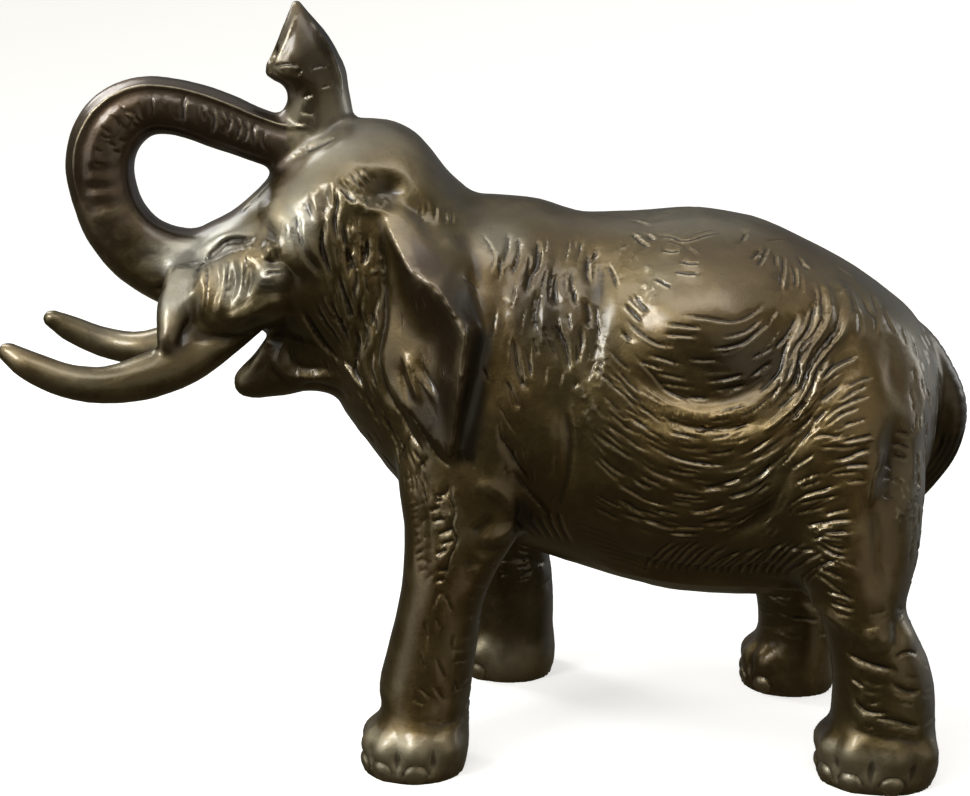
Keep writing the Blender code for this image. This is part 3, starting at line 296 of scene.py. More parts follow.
# cuts on the flank, one by one: x, z
FLANK_CUTS = (
    ((40.5, 126.8), (41.6, 125.6), (42.7, 124.4)), ((51.4, 129.7), (56.6, 129.3), (61.6, 128.7)), ((51.1, 126.9), (55.3, 126.8), (60.3, 126.6)),
    ((47, 121.4), (51.8, 120.2), (56.5, 118.8)), ((45.2, 119.6), (48.1, 118.6), (51.8, 117.4)), ((49.2, 116.6), (53.4, 115.9), (58.2, 115)),
    ((49.2, 114), (54.5, 113.4), (60.6, 112.7)), ((57.3, 120.6), (61.5, 120.4), (66, 120.5)), ((57.2, 110.4), (60.6, 110.2), (64, 110)),
    ((65.4, 126.4), (72.2, 127.7), (77.5, 131.4)), ((61.5, 123.3), (67.2, 123.8), (72.5, 125.4), (77.2, 128.6), (81, 131.1)),
    ((73.8, 120.5), (77.5, 122.3), (80.7, 124.1)), ((80.4, 123.4), (83.3, 126.1), (85.8, 129.5), (86.8, 132.4)), ((62.1, 114.5), (67.3, 115.4), (72.6, 116.5)),
    ((64.8, 111.8), (69.2, 112.8), (73.1, 113.9)), ((74.7, 116), (79.3, 119.7)), ((76.2, 111.9), (79, 114.3), (81.8, 117.3)),
    ((41, 130.7), (44.8, 127), (49.6, 124.3), (54.6, 123.6)), ((36.9, 108.5), (39.6, 105.9), (42.3, 103.6)),
    ((43, 109.7), (47.8, 106.2), (52.6, 102.9)), ((36, 114.2), (41.6, 110.4), (46.5, 104.5)), ((36.2, 117), (39.7, 114.6), (44, 110.2), (47.2, 106.9)),
    ((52.6, 101.5), (58.5, 100.5), (62.5, 99.7)), ((34.8, 103.6), (40.5, 100.3), (45.3, 97), (49.1, 95.5)), ((50.9, 95.6), (58.6, 93.4), (66, 92.4)),
    ((43, 105.5), (47.3, 101.9), (52.7, 98.9)), ((45.5, 89.8), (48.7, 87.7), (51.1, 87)), ((44.5, 87.5), (49.6, 85.2)),
    ((39.4, 86.6), (43.2, 84.5), (47, 82.4)), ((53.6, 84.8), (58.4, 84.1), (62.9, 83.7)), ((53.7, 82.2), (57.1, 81.8), (60.6, 81.6)),
    ((62.8, 86), (68, 87.5), (73, 89.3)), ((68.7, 83.6), (75.5, 85.6), (79.6, 89.1)), ((58.8, 79.2), (64.4, 79.9), (69.1, 81.8)),
    ((49.8, 79.3), (57.3, 77.9)), ((61.1, 75.3), (67.2, 76.1), (71.5, 76.5)), ((52.4, 72.3), (59.4, 72.1), (63.9, 72.3)),
    ((39, 77.8), (48.5, 75.8), (54.7, 74.4)), ((40.3, 81.3), (45.8, 78.7), (53.3, 77.1)), ((74.3, 96.4), (78.2, 98.9), (81.2, 101)),
    ((73.4, 93.1), (79.5, 96.2), (83.9, 99.5)), ((77.2, 89.1), (79.2, 91.3), (80.2, 93.5)), ((83.3, 103.4), (87.1, 107.4)),
    ((84.7, 99.5), (88.7, 103.6), (91.7, 106.3)), ((78.7, 109.4), (80.7, 112), (82.7, 116.8)),
    ((67.5, 87.2), (70.2, 88.1), (72.4, 89.4)), ((76.3, 88.6), (78.6, 90.7), (80, 92.8)), ((68.8, 83.7), (72.6, 84.6), (75.7, 86.3)),
    ((76.6, 84.6), (79.9, 87.4)), ((65.9, 123.5), (69, 123.9), (72.9, 125), (75.6, 127.7)), ((80.2, 123), (82.9, 125), (84.9, 127.2)),
    ((66, 114.7), (69.1, 115.7), (72.5, 116.8)), ((74.1, 115.8), (76.7, 117.3), (79.2, 119.6)), ((66.1, 111.1), (69.5, 112.3), (73.3, 113.9)),
    ((66.1, 107.2), (69.9, 108), (73.7, 109.1)), ((54.8, 132.1), (61.9, 131.5), (69.8, 130.7), (75.1, 132.7), (79.2, 135.8)),
    ((43, 122.1), (45.4, 119.6), (48.1, 116.6), (52.4, 112), (60.9, 108.7)), ((33.2, 118.6), (35.6, 115.4), (39.4, 112.6)),
    ((38.9, 117.6), (42.4, 114), (46.4, 110.8)), ((35.2, 99.4), (40.4, 95.6), (44.8, 93)), ((34.4, 94), (38.8, 90.4), (43, 88)),
    ((52, 91.4), (57, 90.4), (61.6, 90)), ((46.8, 76.4), (52.2, 74.4), (56.8, 73.8)), ((33.4, 83), (38, 80.4), (41.6, 79)),
    ((62, 95.6), (67.4, 96), (71.6, 97.2)), ((55, 97.6), (59.8, 96.8), (64.4, 96.9)),
)
# folds behind the swelling of the flank, running up to the hip, the lowest first: x, z
HIP = (
    ((74.8, 101.2), (79, 104.3), (82.7, 107.4), (86.1, 110.9), (88.4, 114.3), (89.9, 118.4), (92.2, 121.7), (94.7, 124.5), (97.2, 126.9), (98.8, 131), (99, 134.6)),
    ((80.5, 106.6), (83.1, 109.6), (85.3, 113.1), (87, 116.9), (87.5, 120.3), (89, 124), (91.5, 126.5), (94, 130.6), (94.4, 135.6), (93.6, 141)),
    ((82.6, 114), (84, 116.7), (84.7, 119.4), (86.2, 123), (89, 126.2), (91.2, 130), (91.8, 136)),
    ((76.3, 111.6), (79, 113.5), (81.6, 116.4), (83, 120), (84.4, 124.4), (86.6, 128.6), (88.3, 132)),
    ((82.7, 104.1), (86.1, 106.8), (88.7, 109.5), (90.6, 112.9), (92.4, 117.6), (95.6, 121.4)),
)
# cuts on the haunch: x, z, how strong
HAUNCH_CUTS = (
    (((92.1, 114.8), (95.2, 117.7), (98, 119.5), (103.2, 121.5)), 2.0), (((92.1, 109.3), (95.1, 111.6), (97.5, 113.8), (98.1, 114.9)), 1.5),
    (((98.6, 113.4), (101.8, 114.8), (104.6, 115.8), (107.4, 115.5)), 1.3), (((96.7, 109.4), (99.4, 111.2), (102.5, 112.9), (106.1, 114.3)), 1.2),
    (((93, 104.8), (95.9, 107.5), (99.4, 109.4), (102.9, 110.7), (106.9, 111.5)), 1.4), (((93.7, 103.3), (96.7, 105.6), (99.8, 108.2)), 1.0),
    (((90.1, 100), (93.1, 101.3), (96.9, 101.2), (99.5, 102.5)), 1.1), (((97.4, 99.4), (100.8, 100.2), (107.9, 101.4)), 2.2),
    (((96.6, 94.6), (99.1, 95), (102.6, 96.5), (106.8, 97.8)), 2.2), (((99, 93), (103.1, 93.3), (106.4, 93.4)), 2.0),
    (((89.2, 75.1), (94.4, 76.9), (99.2, 78), (103.4, 78.3)), 1.9), (((94.1, 74.2), (97.4, 74.7), (101.2, 75.4)), 1.9),
    (((94.3, 78.9), (98, 80.3), (101.8, 81.3)), 1.4), (((83.9, 79.1), (87.5, 83.3), (91.6, 85.4), (97.3, 86.8)), 1.2),
    (((86.4, 81.5), (92.1, 83.3), (99.3, 85)), 1.2), (((86.6, 78.9), (91.1, 80.2), (95.7, 81.6)), 1.1),
    (((87.7, 86.5), (91.5, 88), (93.7, 89.2)), 1.2), (((86.8, 87.5), (90.5, 90), (94.3, 91.3)), 1.1), (((84.7, 91.2), (88.1, 93.6), (91.7, 96.5)), 1.2),
    (((86.6, 68.1), (91.1, 68.7), (94, 69)), 1.0), (((93.8, 73.2), (96.1, 71), (99.5, 70.1), (101.8, 70.2)), 1.2),
    (((95.6, 90.4), (99.2, 91), (103.4, 91.6)), 1.0), (((88.4, 84.4), (92.4, 85.7), (97, 87.6)), 1.0), (((92, 98), (96.4, 98.2), (100.2, 98.4)), 1.1),
    (((94.3, 64.3), (100.3, 61.9)), 1.2), (((92.7, 62.9), (98.7, 59.3), (103.1, 56.1)), 1.1), (((95.6, 57.5), (100.5, 57.2), (104.4, 55.7)), 1.2),
    (((96.9, 54.5), (100.7, 53.9), (104.5, 53.4)), 1.2), (((91.4, 71.5), (95.5, 73.4), (100.7, 72.9)), 1.4), (((92.9, 75.4), (98, 76.8)), 1.2),
    (((93.1, 71.3), (97.4, 69), (101.3, 67.9)), 1.2), (((94.1, 67.2), (97.5, 66.2), (100.1, 65.6)), 1.1),
    (((96, 106.2), (99.6, 107.3), (103.4, 108.6)), 1.1), (((97.6, 104), (101.4, 104.6), (106.2, 106)), 1.0), (((99.4, 88.3), (102.4, 88.9), (106, 89)), 0.9),
)
# trunk, before the turn: ribs on its sides (x, z, depth), scratches at its bend, and soft folds near its root
RIBS = (
    (((-93.1, 190), (-92.9, 185.9), (-93.4, 181)), 0.4), (((-84.1, 189.6), (-84.5, 185.1), (-84.9, 180)), 0.7), (((-80.7, 186.9), (-80.9, 180.4)), 0.3),
    (((-79.8, 186.7), (-78.3, 181.2)), 0.45), (((-77.6, 186), (-76.1, 182.1), (-77.1, 177.6)), 0.6), (((-75.5, 185.8), (-73.4, 181.2), (-74.4, 177.6)), 0.45),
    (((-73.3, 184.8), (-71.7, 182), (-73.3, 177.6)), 0.6), (((-71.2, 183.8), (-69.4, 179.6), (-70.8, 175.8)), 0.6), (((-68.4, 182.6), (-67.2, 179.3), (-68.6, 174.6)), 0.55),
    (((-65.1, 181.8), (-65.6, 177.9), (-65.2, 174.1)), 0.6), (((-62.4, 180), (-62.8, 176.4), (-61.6, 172.6)), 0.4), (((-90.1, 189.2), (-89.7, 184.5)), 0.25),
    (((-87.4, 189), (-87.2, 182)), 0.2), (((-96.6, 187.6), (-95.6, 182)), 0.25),
)
SCRATCHES = (
    ((-107.3, 180.8), (-105.7, 179.4), (-104.1, 177.8)), ((-103, 182.1), (-101.6, 179.7)), ((-105.2, 184), (-102.5, 182.1), (-100, 179.1)),
    ((-102.6, 176.9), (-100.1, 176.1)), ((-99.1, 185.1), (-97.4, 182.9), (-96.2, 180.7)), ((-106, 176.1), (-103.2, 175)),
    ((-107.6, 178), (-104.7, 176.7)), ((-100.8, 184), (-98.8, 181.8)), ((-109.2, 174.2), (-106.8, 173.4)), ((-110, 170.6), (-107, 170)),
    ((-104.6, 173.6), (-102, 173.2)), ((-98.4, 181.6), (-97.2, 179.6)), ((-101.6, 186), (-100, 183.6)),
)
TRUNK_FOLDS = (
    ((-114, 163.2), (-107.8, 163.5), (-101, 164)), ((-113.8, 158.5), (-107.2, 159.1), (-99.5, 159.8)), ((-112.3, 152.9), (-108, 153.3), (-102.1, 155.5), (-98.8, 157.8)),
    ((-109.6, 149.4), (-103.3, 151.3), (-99.4, 153.6)), ((-107, 146.2), (-102.2, 147.1), (-96.1, 149.9)), ((-102.6, 143.6), (-97, 146.8)),
    ((-101.2, 140.6), (-97.5, 143.8), (-93.7, 146.4)), ((-113.6, 168.6), (-106, 168.4), (-101.4, 168.6)),
)
# marks on the front of the fore leg, from the knee's x: x, z
LEG_FRONT = (
    ((-0.6, 80.9), (3.1, 81.6), (4, 84.9)), ((-0.1, 79.2), (2.7, 80.2)), ((-1.5, 76.2), (1.8, 78)), ((-1, 73.6), (3.2, 74.8)), ((0.9, 70.1), (5.5, 72.5)),
    ((1.4, 67.3), (6, 69.3)), ((0, 64.5), (4.1, 66.4)), ((0.5, 59.9), (4.1, 60.7)), ((0.2, 57), (3.2, 57.9)),
)
LEG_MARKS = (
    ((-0.5, 49.2), (0.9, 53.6), (3.2, 54.1)), ((1.9, 55.1), (4.1, 51.2), (5, 48.2)), ((0.6, 47.4), (1.6, 43.6)), ((-2.8, 45.3), (-1.9, 40.7)),
    ((-4.2, 36.8), (-2.3, 32.2)), ((0.5, 36), (1.9, 32.1), (3.2, 29.1)), ((-4.6, 27.4), (-0.9, 24.1)), ((0, 27.4), (3.2, 22.3)), ((5.8, 28.5), (6.6, 24.2)),
    ((4.6, 40), (5.4, 36.8)), ((-5.8, 24), (-2.6, 22)),
)
TOES = (-52, -14, 24, 58, 98)    # degrees round each foot from its front to its outer side
# ------------------------------------------------------------------ helpers
def spline(keys, count, by=None):
    """Rows of keys at count even steps along them, through a cubic that doesn't overshoot."""
    keys = np.asarray(keys, float)
    if by is None:
        steps = np.linalg.norm(np.diff(keys[:, :by or 3], axis=0), axis=1)
        at = np.concatenate([[0], np.cumsum(steps)])
    else:
        at = keys[:, by]
    gaps = np.diff(at)
    slopes = np.diff(keys, axis=0) / gaps[:, None]
    tangents = np.empty_like(keys)
    tangents[0], tangents[-1] = slopes[0], slopes[-1]
    wide, thin = 2 * gaps[1:] + gaps[:-1], gaps[1:] + 2 * gaps[:-1]
    with np.errstate(divide="ignore", invalid="ignore"):
        mean = (wide + thin)[:, None] / (wide[:, None] / slopes[:-1] + thin[:, None] / slopes[1:])
    tangents[1:-1] = np.where(slopes[:-1] * slopes[1:] > 0, mean, 0)
    where = np.linspace(at[0], at[-1], count)
    cell = np.clip(np.searchsorted(at, where, side="right") - 1, 0, len(gaps) - 1)
    t = ((where - at[cell]) / gaps[cell])[:, None]
    h = gaps[cell][:, None]
    return (
        (1 + 2 * t) * (1 - t) ** 2 * keys[cell] + t * (1 - t) ** 2 * h * tangents[cell]
        + t * t * (3 - 2 * t) * keys[cell + 1] + t * t * (t - 1) * h * tangents[cell + 1]
    )


def path_spline(keys, count):
    """Rows of keys at count steps along a smooth path (Catmull-Rom, spaced by distance)."""
    keys = np.asarray(keys, float)
    full = np.vstack([2 * keys[0] - keys[1], keys, 2 * keys[-1] - keys[-2]])
    fine = []
    for i in range(1, len(full) - 2):
        t = np.linspace(0, 1, 24, endpoint=False)[:, None]
        a, b, c, d = full[i - 1], full[i], full[i + 1], full[i + 2]
        fine.append(0.5 * (2 * b + (c - a) * t + (2 * a - 5 * b + 4 * c - d) * t**2
                           + (3 * b - a - 3 * c + d) * t**3))
    fine = np.vstack(fine + [keys[-1:]])
    steps = np.linalg.norm(np.diff(fine[:, :3], axis=0), axis=1)
    at = np.concatenate([[0], np.cumsum(steps)])
    where = np.linspace(0, at[-1], count)
    return np.stack([np.interp(where, at, column) for column in fine.T], axis=1)


def ring(centre, side, up, r_side, r_up, r_down, bulge_up=2.0, bulge_down=2.0, points=48):
    """One closed section: an oval whose upper and lower halves differ in height and squareness."""
    turn = np.linspace(0, 2 * math.pi, points, endpoint=False)
    c, s = np.cos(turn), np.sin(turn)
    power = np.where(s >= 0, 2 / bulge_up, 2 / bulge_down)
    across = np.sign(c) * np.abs(c) ** power * r_side
    along = np.sign(s) * np.abs(s) ** power * np.where(s >= 0, r_up, r_down)
    return np.asarray(centre) + across[:, None] * np.asarray(side) + along[:, None] * np.asarray(up)


def loft(name, rings):
    """A closed mesh object through the rings, with flat ends."""
    rings = np.asarray(rings, float)
    count, points, _ = rings.shape
    mesh = bmesh.new()
    rows = [[mesh.verts.new(p) for p in row] for row in rings]
    for a, b in zip(rows, rows[1:]):
        for i in range(points):
            j = (i + 1) % points
            mesh.faces.new((a[i], a[j], b[j], b[i]))
    mesh.faces.new(rows[0][::-1])
    mesh.faces.new(rows[-1])
    bmesh.ops.triangulate(mesh, faces=[f for f in mesh.faces if len(f.verts) > 4])
    bmesh.ops.recalc_face_normals(mesh, faces=mesh.faces)
    data = bpy.data.meshes.new(name)
    mesh.to_mesh(data)
    mesh.free()
    made = bpy.data.objects.new(name, data)
    bpy.context.scene.collection.objects.link(made)
    return made


def turned(points):
    """Points of the head carried round with it, easing from none at the shoulders to the full turn."""
    points = np.asarray(points, float)
    x, y = points[..., 0], points[..., 1]
    t = np.clip((NECK_BACK_X - x) / (NECK_BACK_X - NECK_FRONT_X), 0, 1)
    angle = HEAD_TURN * t * t * (3 - 2 * t)
    c, s = np.cos(angle), np.sin(angle)
    out = points.copy()
    out[..., 0] = NECK_PIVOT_X + c * (x - NECK_PIVOT_X) - s * y
    out[..., 1] = s * (x - NECK_PIVOT_X) + c * y
    return out


def barrel(name, table, count, bulge_up, bulge_down, carry=None):
    rows = spline(table, count, by=0)
    rings = [ring((x, 0, wide), (0, 1, 0), (0, 0, 1), half, top - wide, wide - bottom,
                  bulge_up, bulge_down, 64) for x, top, bottom, half, wide in rows]
    return loft(name, carry(rings) if carry else rings)


def limb(name, table, side, count=60, bulge=2.15):
    """A leg: flat sole, horizontal sections."""
    rows = spline(table, count, by=0)
    rings = [ring(((front + back) / 2, side * middle, z), (1, 0, 0), (0, 1, 0),
                  (back - front) / 2, half, half, bulge, bulge)
             for z, front, back, middle, half in rows]
    return loft(name, rings)


def tube(name, rows, side_of, bulge_up=2.0, bulge_down=2.0, carry=None, points=36, round_end=False):
    """A tube along rows of x, y, z, depth radius, side radius."""
    centres = rows[:, :3]
    along = np.gradient(centres, axis=0)
    along /= np.linalg.norm(along, axis=1)[:, None]
    rings = []
    for centre, way, row in zip(centres, along, rows):
        side = np.asarray(side_of, float) - way * np.dot(side_of, way)
        side /= np.linalg.norm(side)
        up = np.cross(way, side)
        rings.append(ring(centre, side, up, row[4], row[3], row[3], bulge_up, bulge_down, points))
    if round_end:
        way, row = along[-1], rows[-1]
        side = np.asarray(side_of, float) - way * np.dot(side_of, way)
        side /= np.linalg.norm(side)
        for lean in (25, 50, 72):
            shrink, ahead = math.cos(math.radians(lean)), math.sin(math.radians(lean))
            rings.append(ring(row[:3] + way * row[3] * ahead, side, np.cross(way, side),
                              row[4] * shrink, row[3] * shrink, row[3] * shrink,
                              bulge_up, bulge_down, points))
    rings = np.asarray(rings)
    return loft(name, carry(rings) if carry else rings)


# ------------------------------------------------------------------ the masses
def trunk():
    rows = path_spline([(x, 0, z, depth, half) for x, z, depth, half in TRUNK], 90)
    return tube("trunk", rows, (0, 1, 0), 2.1, 2.7, turned)


def trunk_end():
    rows = spline(TRUNK_END, 40, by=0)
    return loft("trunk_end", turned([
        ring(((front + back) / 2, 0, z), (1, 0, 0), (0, 1, 0), (back - front) / 2, half, half)
        for z, front, back, half in rows]))


def tusk(side):
    rows = path_spline([(x, side * y, z, r, r) for x, y, z, r in TUSK], 60)
    return tube("tusk", rows, (0, 1, 0), carry=turned, round_end=True)


def jaw():
    rows = spline(JAW, 40, by=0)
    return loft("jaw", turned([
        ring((x, 0, (top + bottom) / 2), (0, 1, 0), (0, 0, 1), half, (top - bottom) / 2,
             (top - bottom) / 2, 2.2, 2.5) for x, top, bottom, half in rows]))


def lip(side):
    """The lobe that hangs in front of each tusk root."""
    keys = [(-84, 12.5, 139, 5.8), (-86.4, 18, 132.5, 5.0), (-87.7, 23, 127, 4.6), (-88.7, 26, 123.2, 3.7)]
    rows = path_spline([(x, side * y, z, r, r * 0.9) for x, y, z, r in keys], 24)
    return tube("lip", rows, (0, 1, 0), carry=turned, round_end=True)


def sheath(side):
    """The swelling of the cheek that the tusk comes out from under."""
    rows = spline(SHEATH, 30, by=0)
    return loft("sheath", turned([
        ring((x, side * middle, wide), (0, 1, 0), (0, 0, 1), half, top - wide, wide - bottom, 2.0, 3.0, 40)
        for x, top, bottom, middle, half, wide in rows]))


def ear(side):
    """A thick leaf: its outer face stands off the head, and its back slopes down into the neck."""
    rim = np.array(EAR + EAR[:1], float)
    steps = np.concatenate([[0], np.cumsum(np.linalg.norm(np.diff(rim[:, :3], axis=0), axis=1))])
    where = np.linspace(0, steps[-1], 121)[:-1]
    rim = np.stack([np.interp(where, steps, column) for column in rim.T], axis=1)
    for _ in range(2):   # takes the points off the corners
        rim = (rim + np.roll(rim, 1, axis=0) + np.roll(rim, -1, axis=0)) / 3
    face, middle = rim[:, :3], rim[:, :3].mean(axis=0)
    back = face.copy()
    back[:, 0] += rim[:, 3]
    back[:, 1] = 27 + 0.16 * (back[:, 0] + 30)
    back[:, 2] += rim[:, 4]
    deep = back.copy()
    deep[:, 1] = 14
    rings = [middle + (face - middle) * t + (0, -1.4 * (1 - t * t), 0) for t in (0.03, 0.35, 0.7, 0.93, 1)]
    rings += [face + (back - face) * t for t in (0.08, 0.3, 0.65, 1)] + [deep]
    rings = np.array(rings)
    rings[..., 1] *= side
    return loft("ear", turned(rings))


def tail():
    rows = path_spline([(x, y, z, r, r) for x, y, z, r in TAIL], 50)
    return tube("tail", rows, (0, 1, 0), round_end=True)


def masses():
    made = [
        barrel("barrel", BARREL, 90, 1.95, 2.15),
        barrel("head", HEAD, 80, 2.05, 2.3, turned),
        trunk(), trunk_end(), jaw(), tail(),
        limb("front_left", FRONT_LEFT, -1), limb("front_right", FRONT_RIGHT, 1),
        limb("hind_left", HIND_LEFT, -1), limb("hind_right", HIND_RIGHT, 1),
    ]
    for side in (-1, 1):
        made += [tusk(side), lip(side), sheath(side), ear(side)]
    return made


def joined(parts, name, voxel):
    """The parts as one skin."""
    data = bpy.data.meshes.new(name)
    whole = bmesh.new()
    for part in parts:
        whole.from_mesh(part.data)
        mesh = part.data
        bpy.data.objects.remove(part)
        bpy.data.meshes.remove(mesh)
    whole.to_mesh(data)
    whole.free()
    made = bpy.data.objects.new(name, data)
    bpy.context.scene.collection.objects.link(made)
    remesh = made.modifiers.new("skin", "REMESH")
    remesh.mode, remesh.voxel_size, remesh.adaptivity = "VOXEL", voxel, 0.0
    return baked(made)


def baked(made):
    """The object with its modifiers applied."""
    graph = bpy.context.evaluated_depsgraph_get()
    data = bpy.data.meshes.new_from_object(made.evaluated_get(graph))
    old = made.data
    made.modifiers.clear()
    made.data = data
    bpy.data.meshes.remove(old)
    return made


class Skin:
    """Points and faces, with the neighbours needed to smooth and press them."""

    def __init__(self, points, faces, marks=None):
        self.p = points
        self.corners = faces if faces.shape[1] == 4 else np.column_stack([faces, faces[:, 2]])
        self.marks = marks or {}
        count = len(points)
        a = np.concatenate([faces[:, k] for k in range(faces.shape[1])])
        b = np.concatenate([faces[:, (k + 1) % faces.shape[1]] for k in range(faces.shape[1])])
        key = np.unique(np.minimum(a, b) * count + np.maximum(a, b))
        self.edges = np.stack([key // count, key % count], axis=1)
        self.degree = np.bincount(self.edges.ravel(), minlength=count).astype(float)

    def around(self, values):
        """The mean of the neighbours of each point."""
        a, b = self.edges.T
        out = np.empty_like(values)
        for k in range(values.shape[1]):
            out[:, k] = (np.bincount(a, values[b, k], len(values))
                         + np.bincount(b, values[a, k], len(values)))
        return out / self.degree[:, None]

    def normals(self):
        q = self.p[self.corners]
        n = np.cross(q[:, 2] - q[:, 0], q[:, 3] - q[:, 1])
        out = np.zeros_like(self.p)
        for k in range(3):
            for c in range(4):
                if c < 3 or self.corners[0, 3] != self.corners[0, 2]:
                    out[:, k] += np.bincount(self.corners[:, c], n[:, k], len(self.p))
        return out / np.maximum(np.linalg.norm(out, axis=1), 1e-12)[:, None]

    def smooth(self, passes, weight=0.5):
        """Laplacian passes, each undone a little so that the form keeps its size."""
        for _ in range(passes):
            for way in (weight, -weight * 0.94):
                self.p += (self.around(self.p) - self.p) * way

    def fillet(self, passes, least, weight=0.5):
        """Fills the hollows: only points that lie below their neighbours are let rise."""
        for _ in range(passes):
            move = self.around(self.p) - self.p
            n = self.normals()
            up = (move * n).sum(axis=1)
            let = np.clip((up - least) / max(least, 1e-6), 0, 1)[:, None]
            self.p += move * let * weight

    def depth(self, passes):
        """How far each point lies below the skin around it: above zero in hollows, below zero on ridges."""
        p = self.p
        for _ in range(passes):
            p = p + (self.around(p) - p) * 0.7
        return ((p - self.p) * self.normals()).sum(axis=1)

    def split(self, chosen):
        """The skin in triangles, with each edge between two chosen points halved."""
        q = self.corners
        if (q[:, 3] != q[:, 2]).any():
            short = (((self.p[q[:, 0]] - self.p[q[:, 2]]) ** 2).sum(axis=1)
                     < ((self.p[q[:, 1]] - self.p[q[:, 3]]) ** 2).sum(axis=1))[:, None]
            faces = np.concatenate([np.where(short, q[:, [0, 1, 2]], q[:, [0, 1, 3]]),
                                    np.where(short, q[:, [0, 2, 3]], q[:, [1, 2, 3]])])
        else:
            faces = q[:, :3]
        count = len(self.p)
        ends = np.stack([faces, np.roll(faces, -1, axis=1)], axis=2)
        cut = chosen[ends].all(axis=2)
        key = ends.min(axis=2) * count + ends.max(axis=2)
        halved, index = np.unique(key[cut], return_inverse=True)
        a, b = halved // count, halved % count
        points = np.concatenate([self.p, (self.p[a] + self.p[b]) / 2])
        marks = {name: np.concatenate([v, (v[a] + v[b]) / 2]) for name, v in self.marks.items()}
        middle = np.full(faces.shape, -1)
        middle[cut] = index.reshape(-1) + count
        how = cut.sum(axis=1)
        whole = faces[how == 0]
        f, m = faces[how == 3], middle[how == 3]
        quarters = [np.stack([f[:, k], m[:, k], m[:, k - 1]], axis=1) for k in range(3)] + [m]
        halves = []
        for k in range(3):
            one = (how == 1) & cut[:, k]
            f, m = faces[one], middle[one, k]
            i, j, o = f[:, k], f[:, (k + 1) % 3], f[:, (k + 2) % 3]
            halves += [np.stack([i, m, o], axis=1), np.stack([m, j, o], axis=1)]
        return Skin(points, np.concatenate([whole] + quarters + halves), marks)


def skin_of(made):
    """The points and faces of a mesh object, which is then removed."""
    mesh = made.data
    points = np.empty(len(mesh.vertices) * 3)
    mesh.vertices.foreach_get("co", points)
    loops = np.empty(len(mesh.loops), np.int64)
    mesh.loops.foreach_get("vertex_index", loops)
    bpy.data.objects.remove(made)
    bpy.data.meshes.remove(mesh)
    return Skin(points.reshape(-1, 3), loops.reshape(-1, 4))


def mesh_of(skin, name):
    """A mesh object of a skin of triangles."""
    faces = skin.corners[:, :3].astype(np.int32)
    mesh = bpy.data.meshes.new(name)
    mesh.vertices.add(len(skin.p))
    mesh.vertices.foreach_set("co", skin.p.ravel())
    mesh.loops.add(faces.size)
    mesh.loops.foreach_set("vertex_index", faces.ravel())
    mesh.polygons.add(len(faces))
    mesh.polygons.foreach_set("loop_start", np.arange(0, faces.size, 3, dtype=np.int32))
    mesh.update(calc_edges=True)
    made = bpy.data.objects.new(name, mesh)
    bpy.context.scene.collection.objects.link(made)
    return made


def ease(t):
    t = np.clip(t, 0, 1)
    return t * t * (3 - 2 * t)


def noise3(points, size, seed):
    """Smooth random values from -1 to 1 over space, with features about size across."""
    rng = np.random.default_rng(seed)
    table = rng.uniform(-1, 1, 4096)
    q = points / size + 1000.0
    cell = np.floor(q).astype(np.int64)
    t = q - cell
    t = t * t * (3 - 2 * t)
    out = np.zeros(len(points))
    for corner in range(8):
        step = np.array([(corner >> k) & 1 for k in range(3)])
        key = ((cell + step) * (73856093, 19349663, 83492791)).sum(axis=1)
        key = (key ^ (key >> 13)) & 4095
        weight = np.where(step, t, 1 - t).prod(axis=1)
        out += weight * table[key]
    return out


def unturned(points):
    """Where these points of the casting lie before the head is turned."""
    guess = points.copy()
    for _ in range(12):
        guess -= turned(guess) - points
    return guess


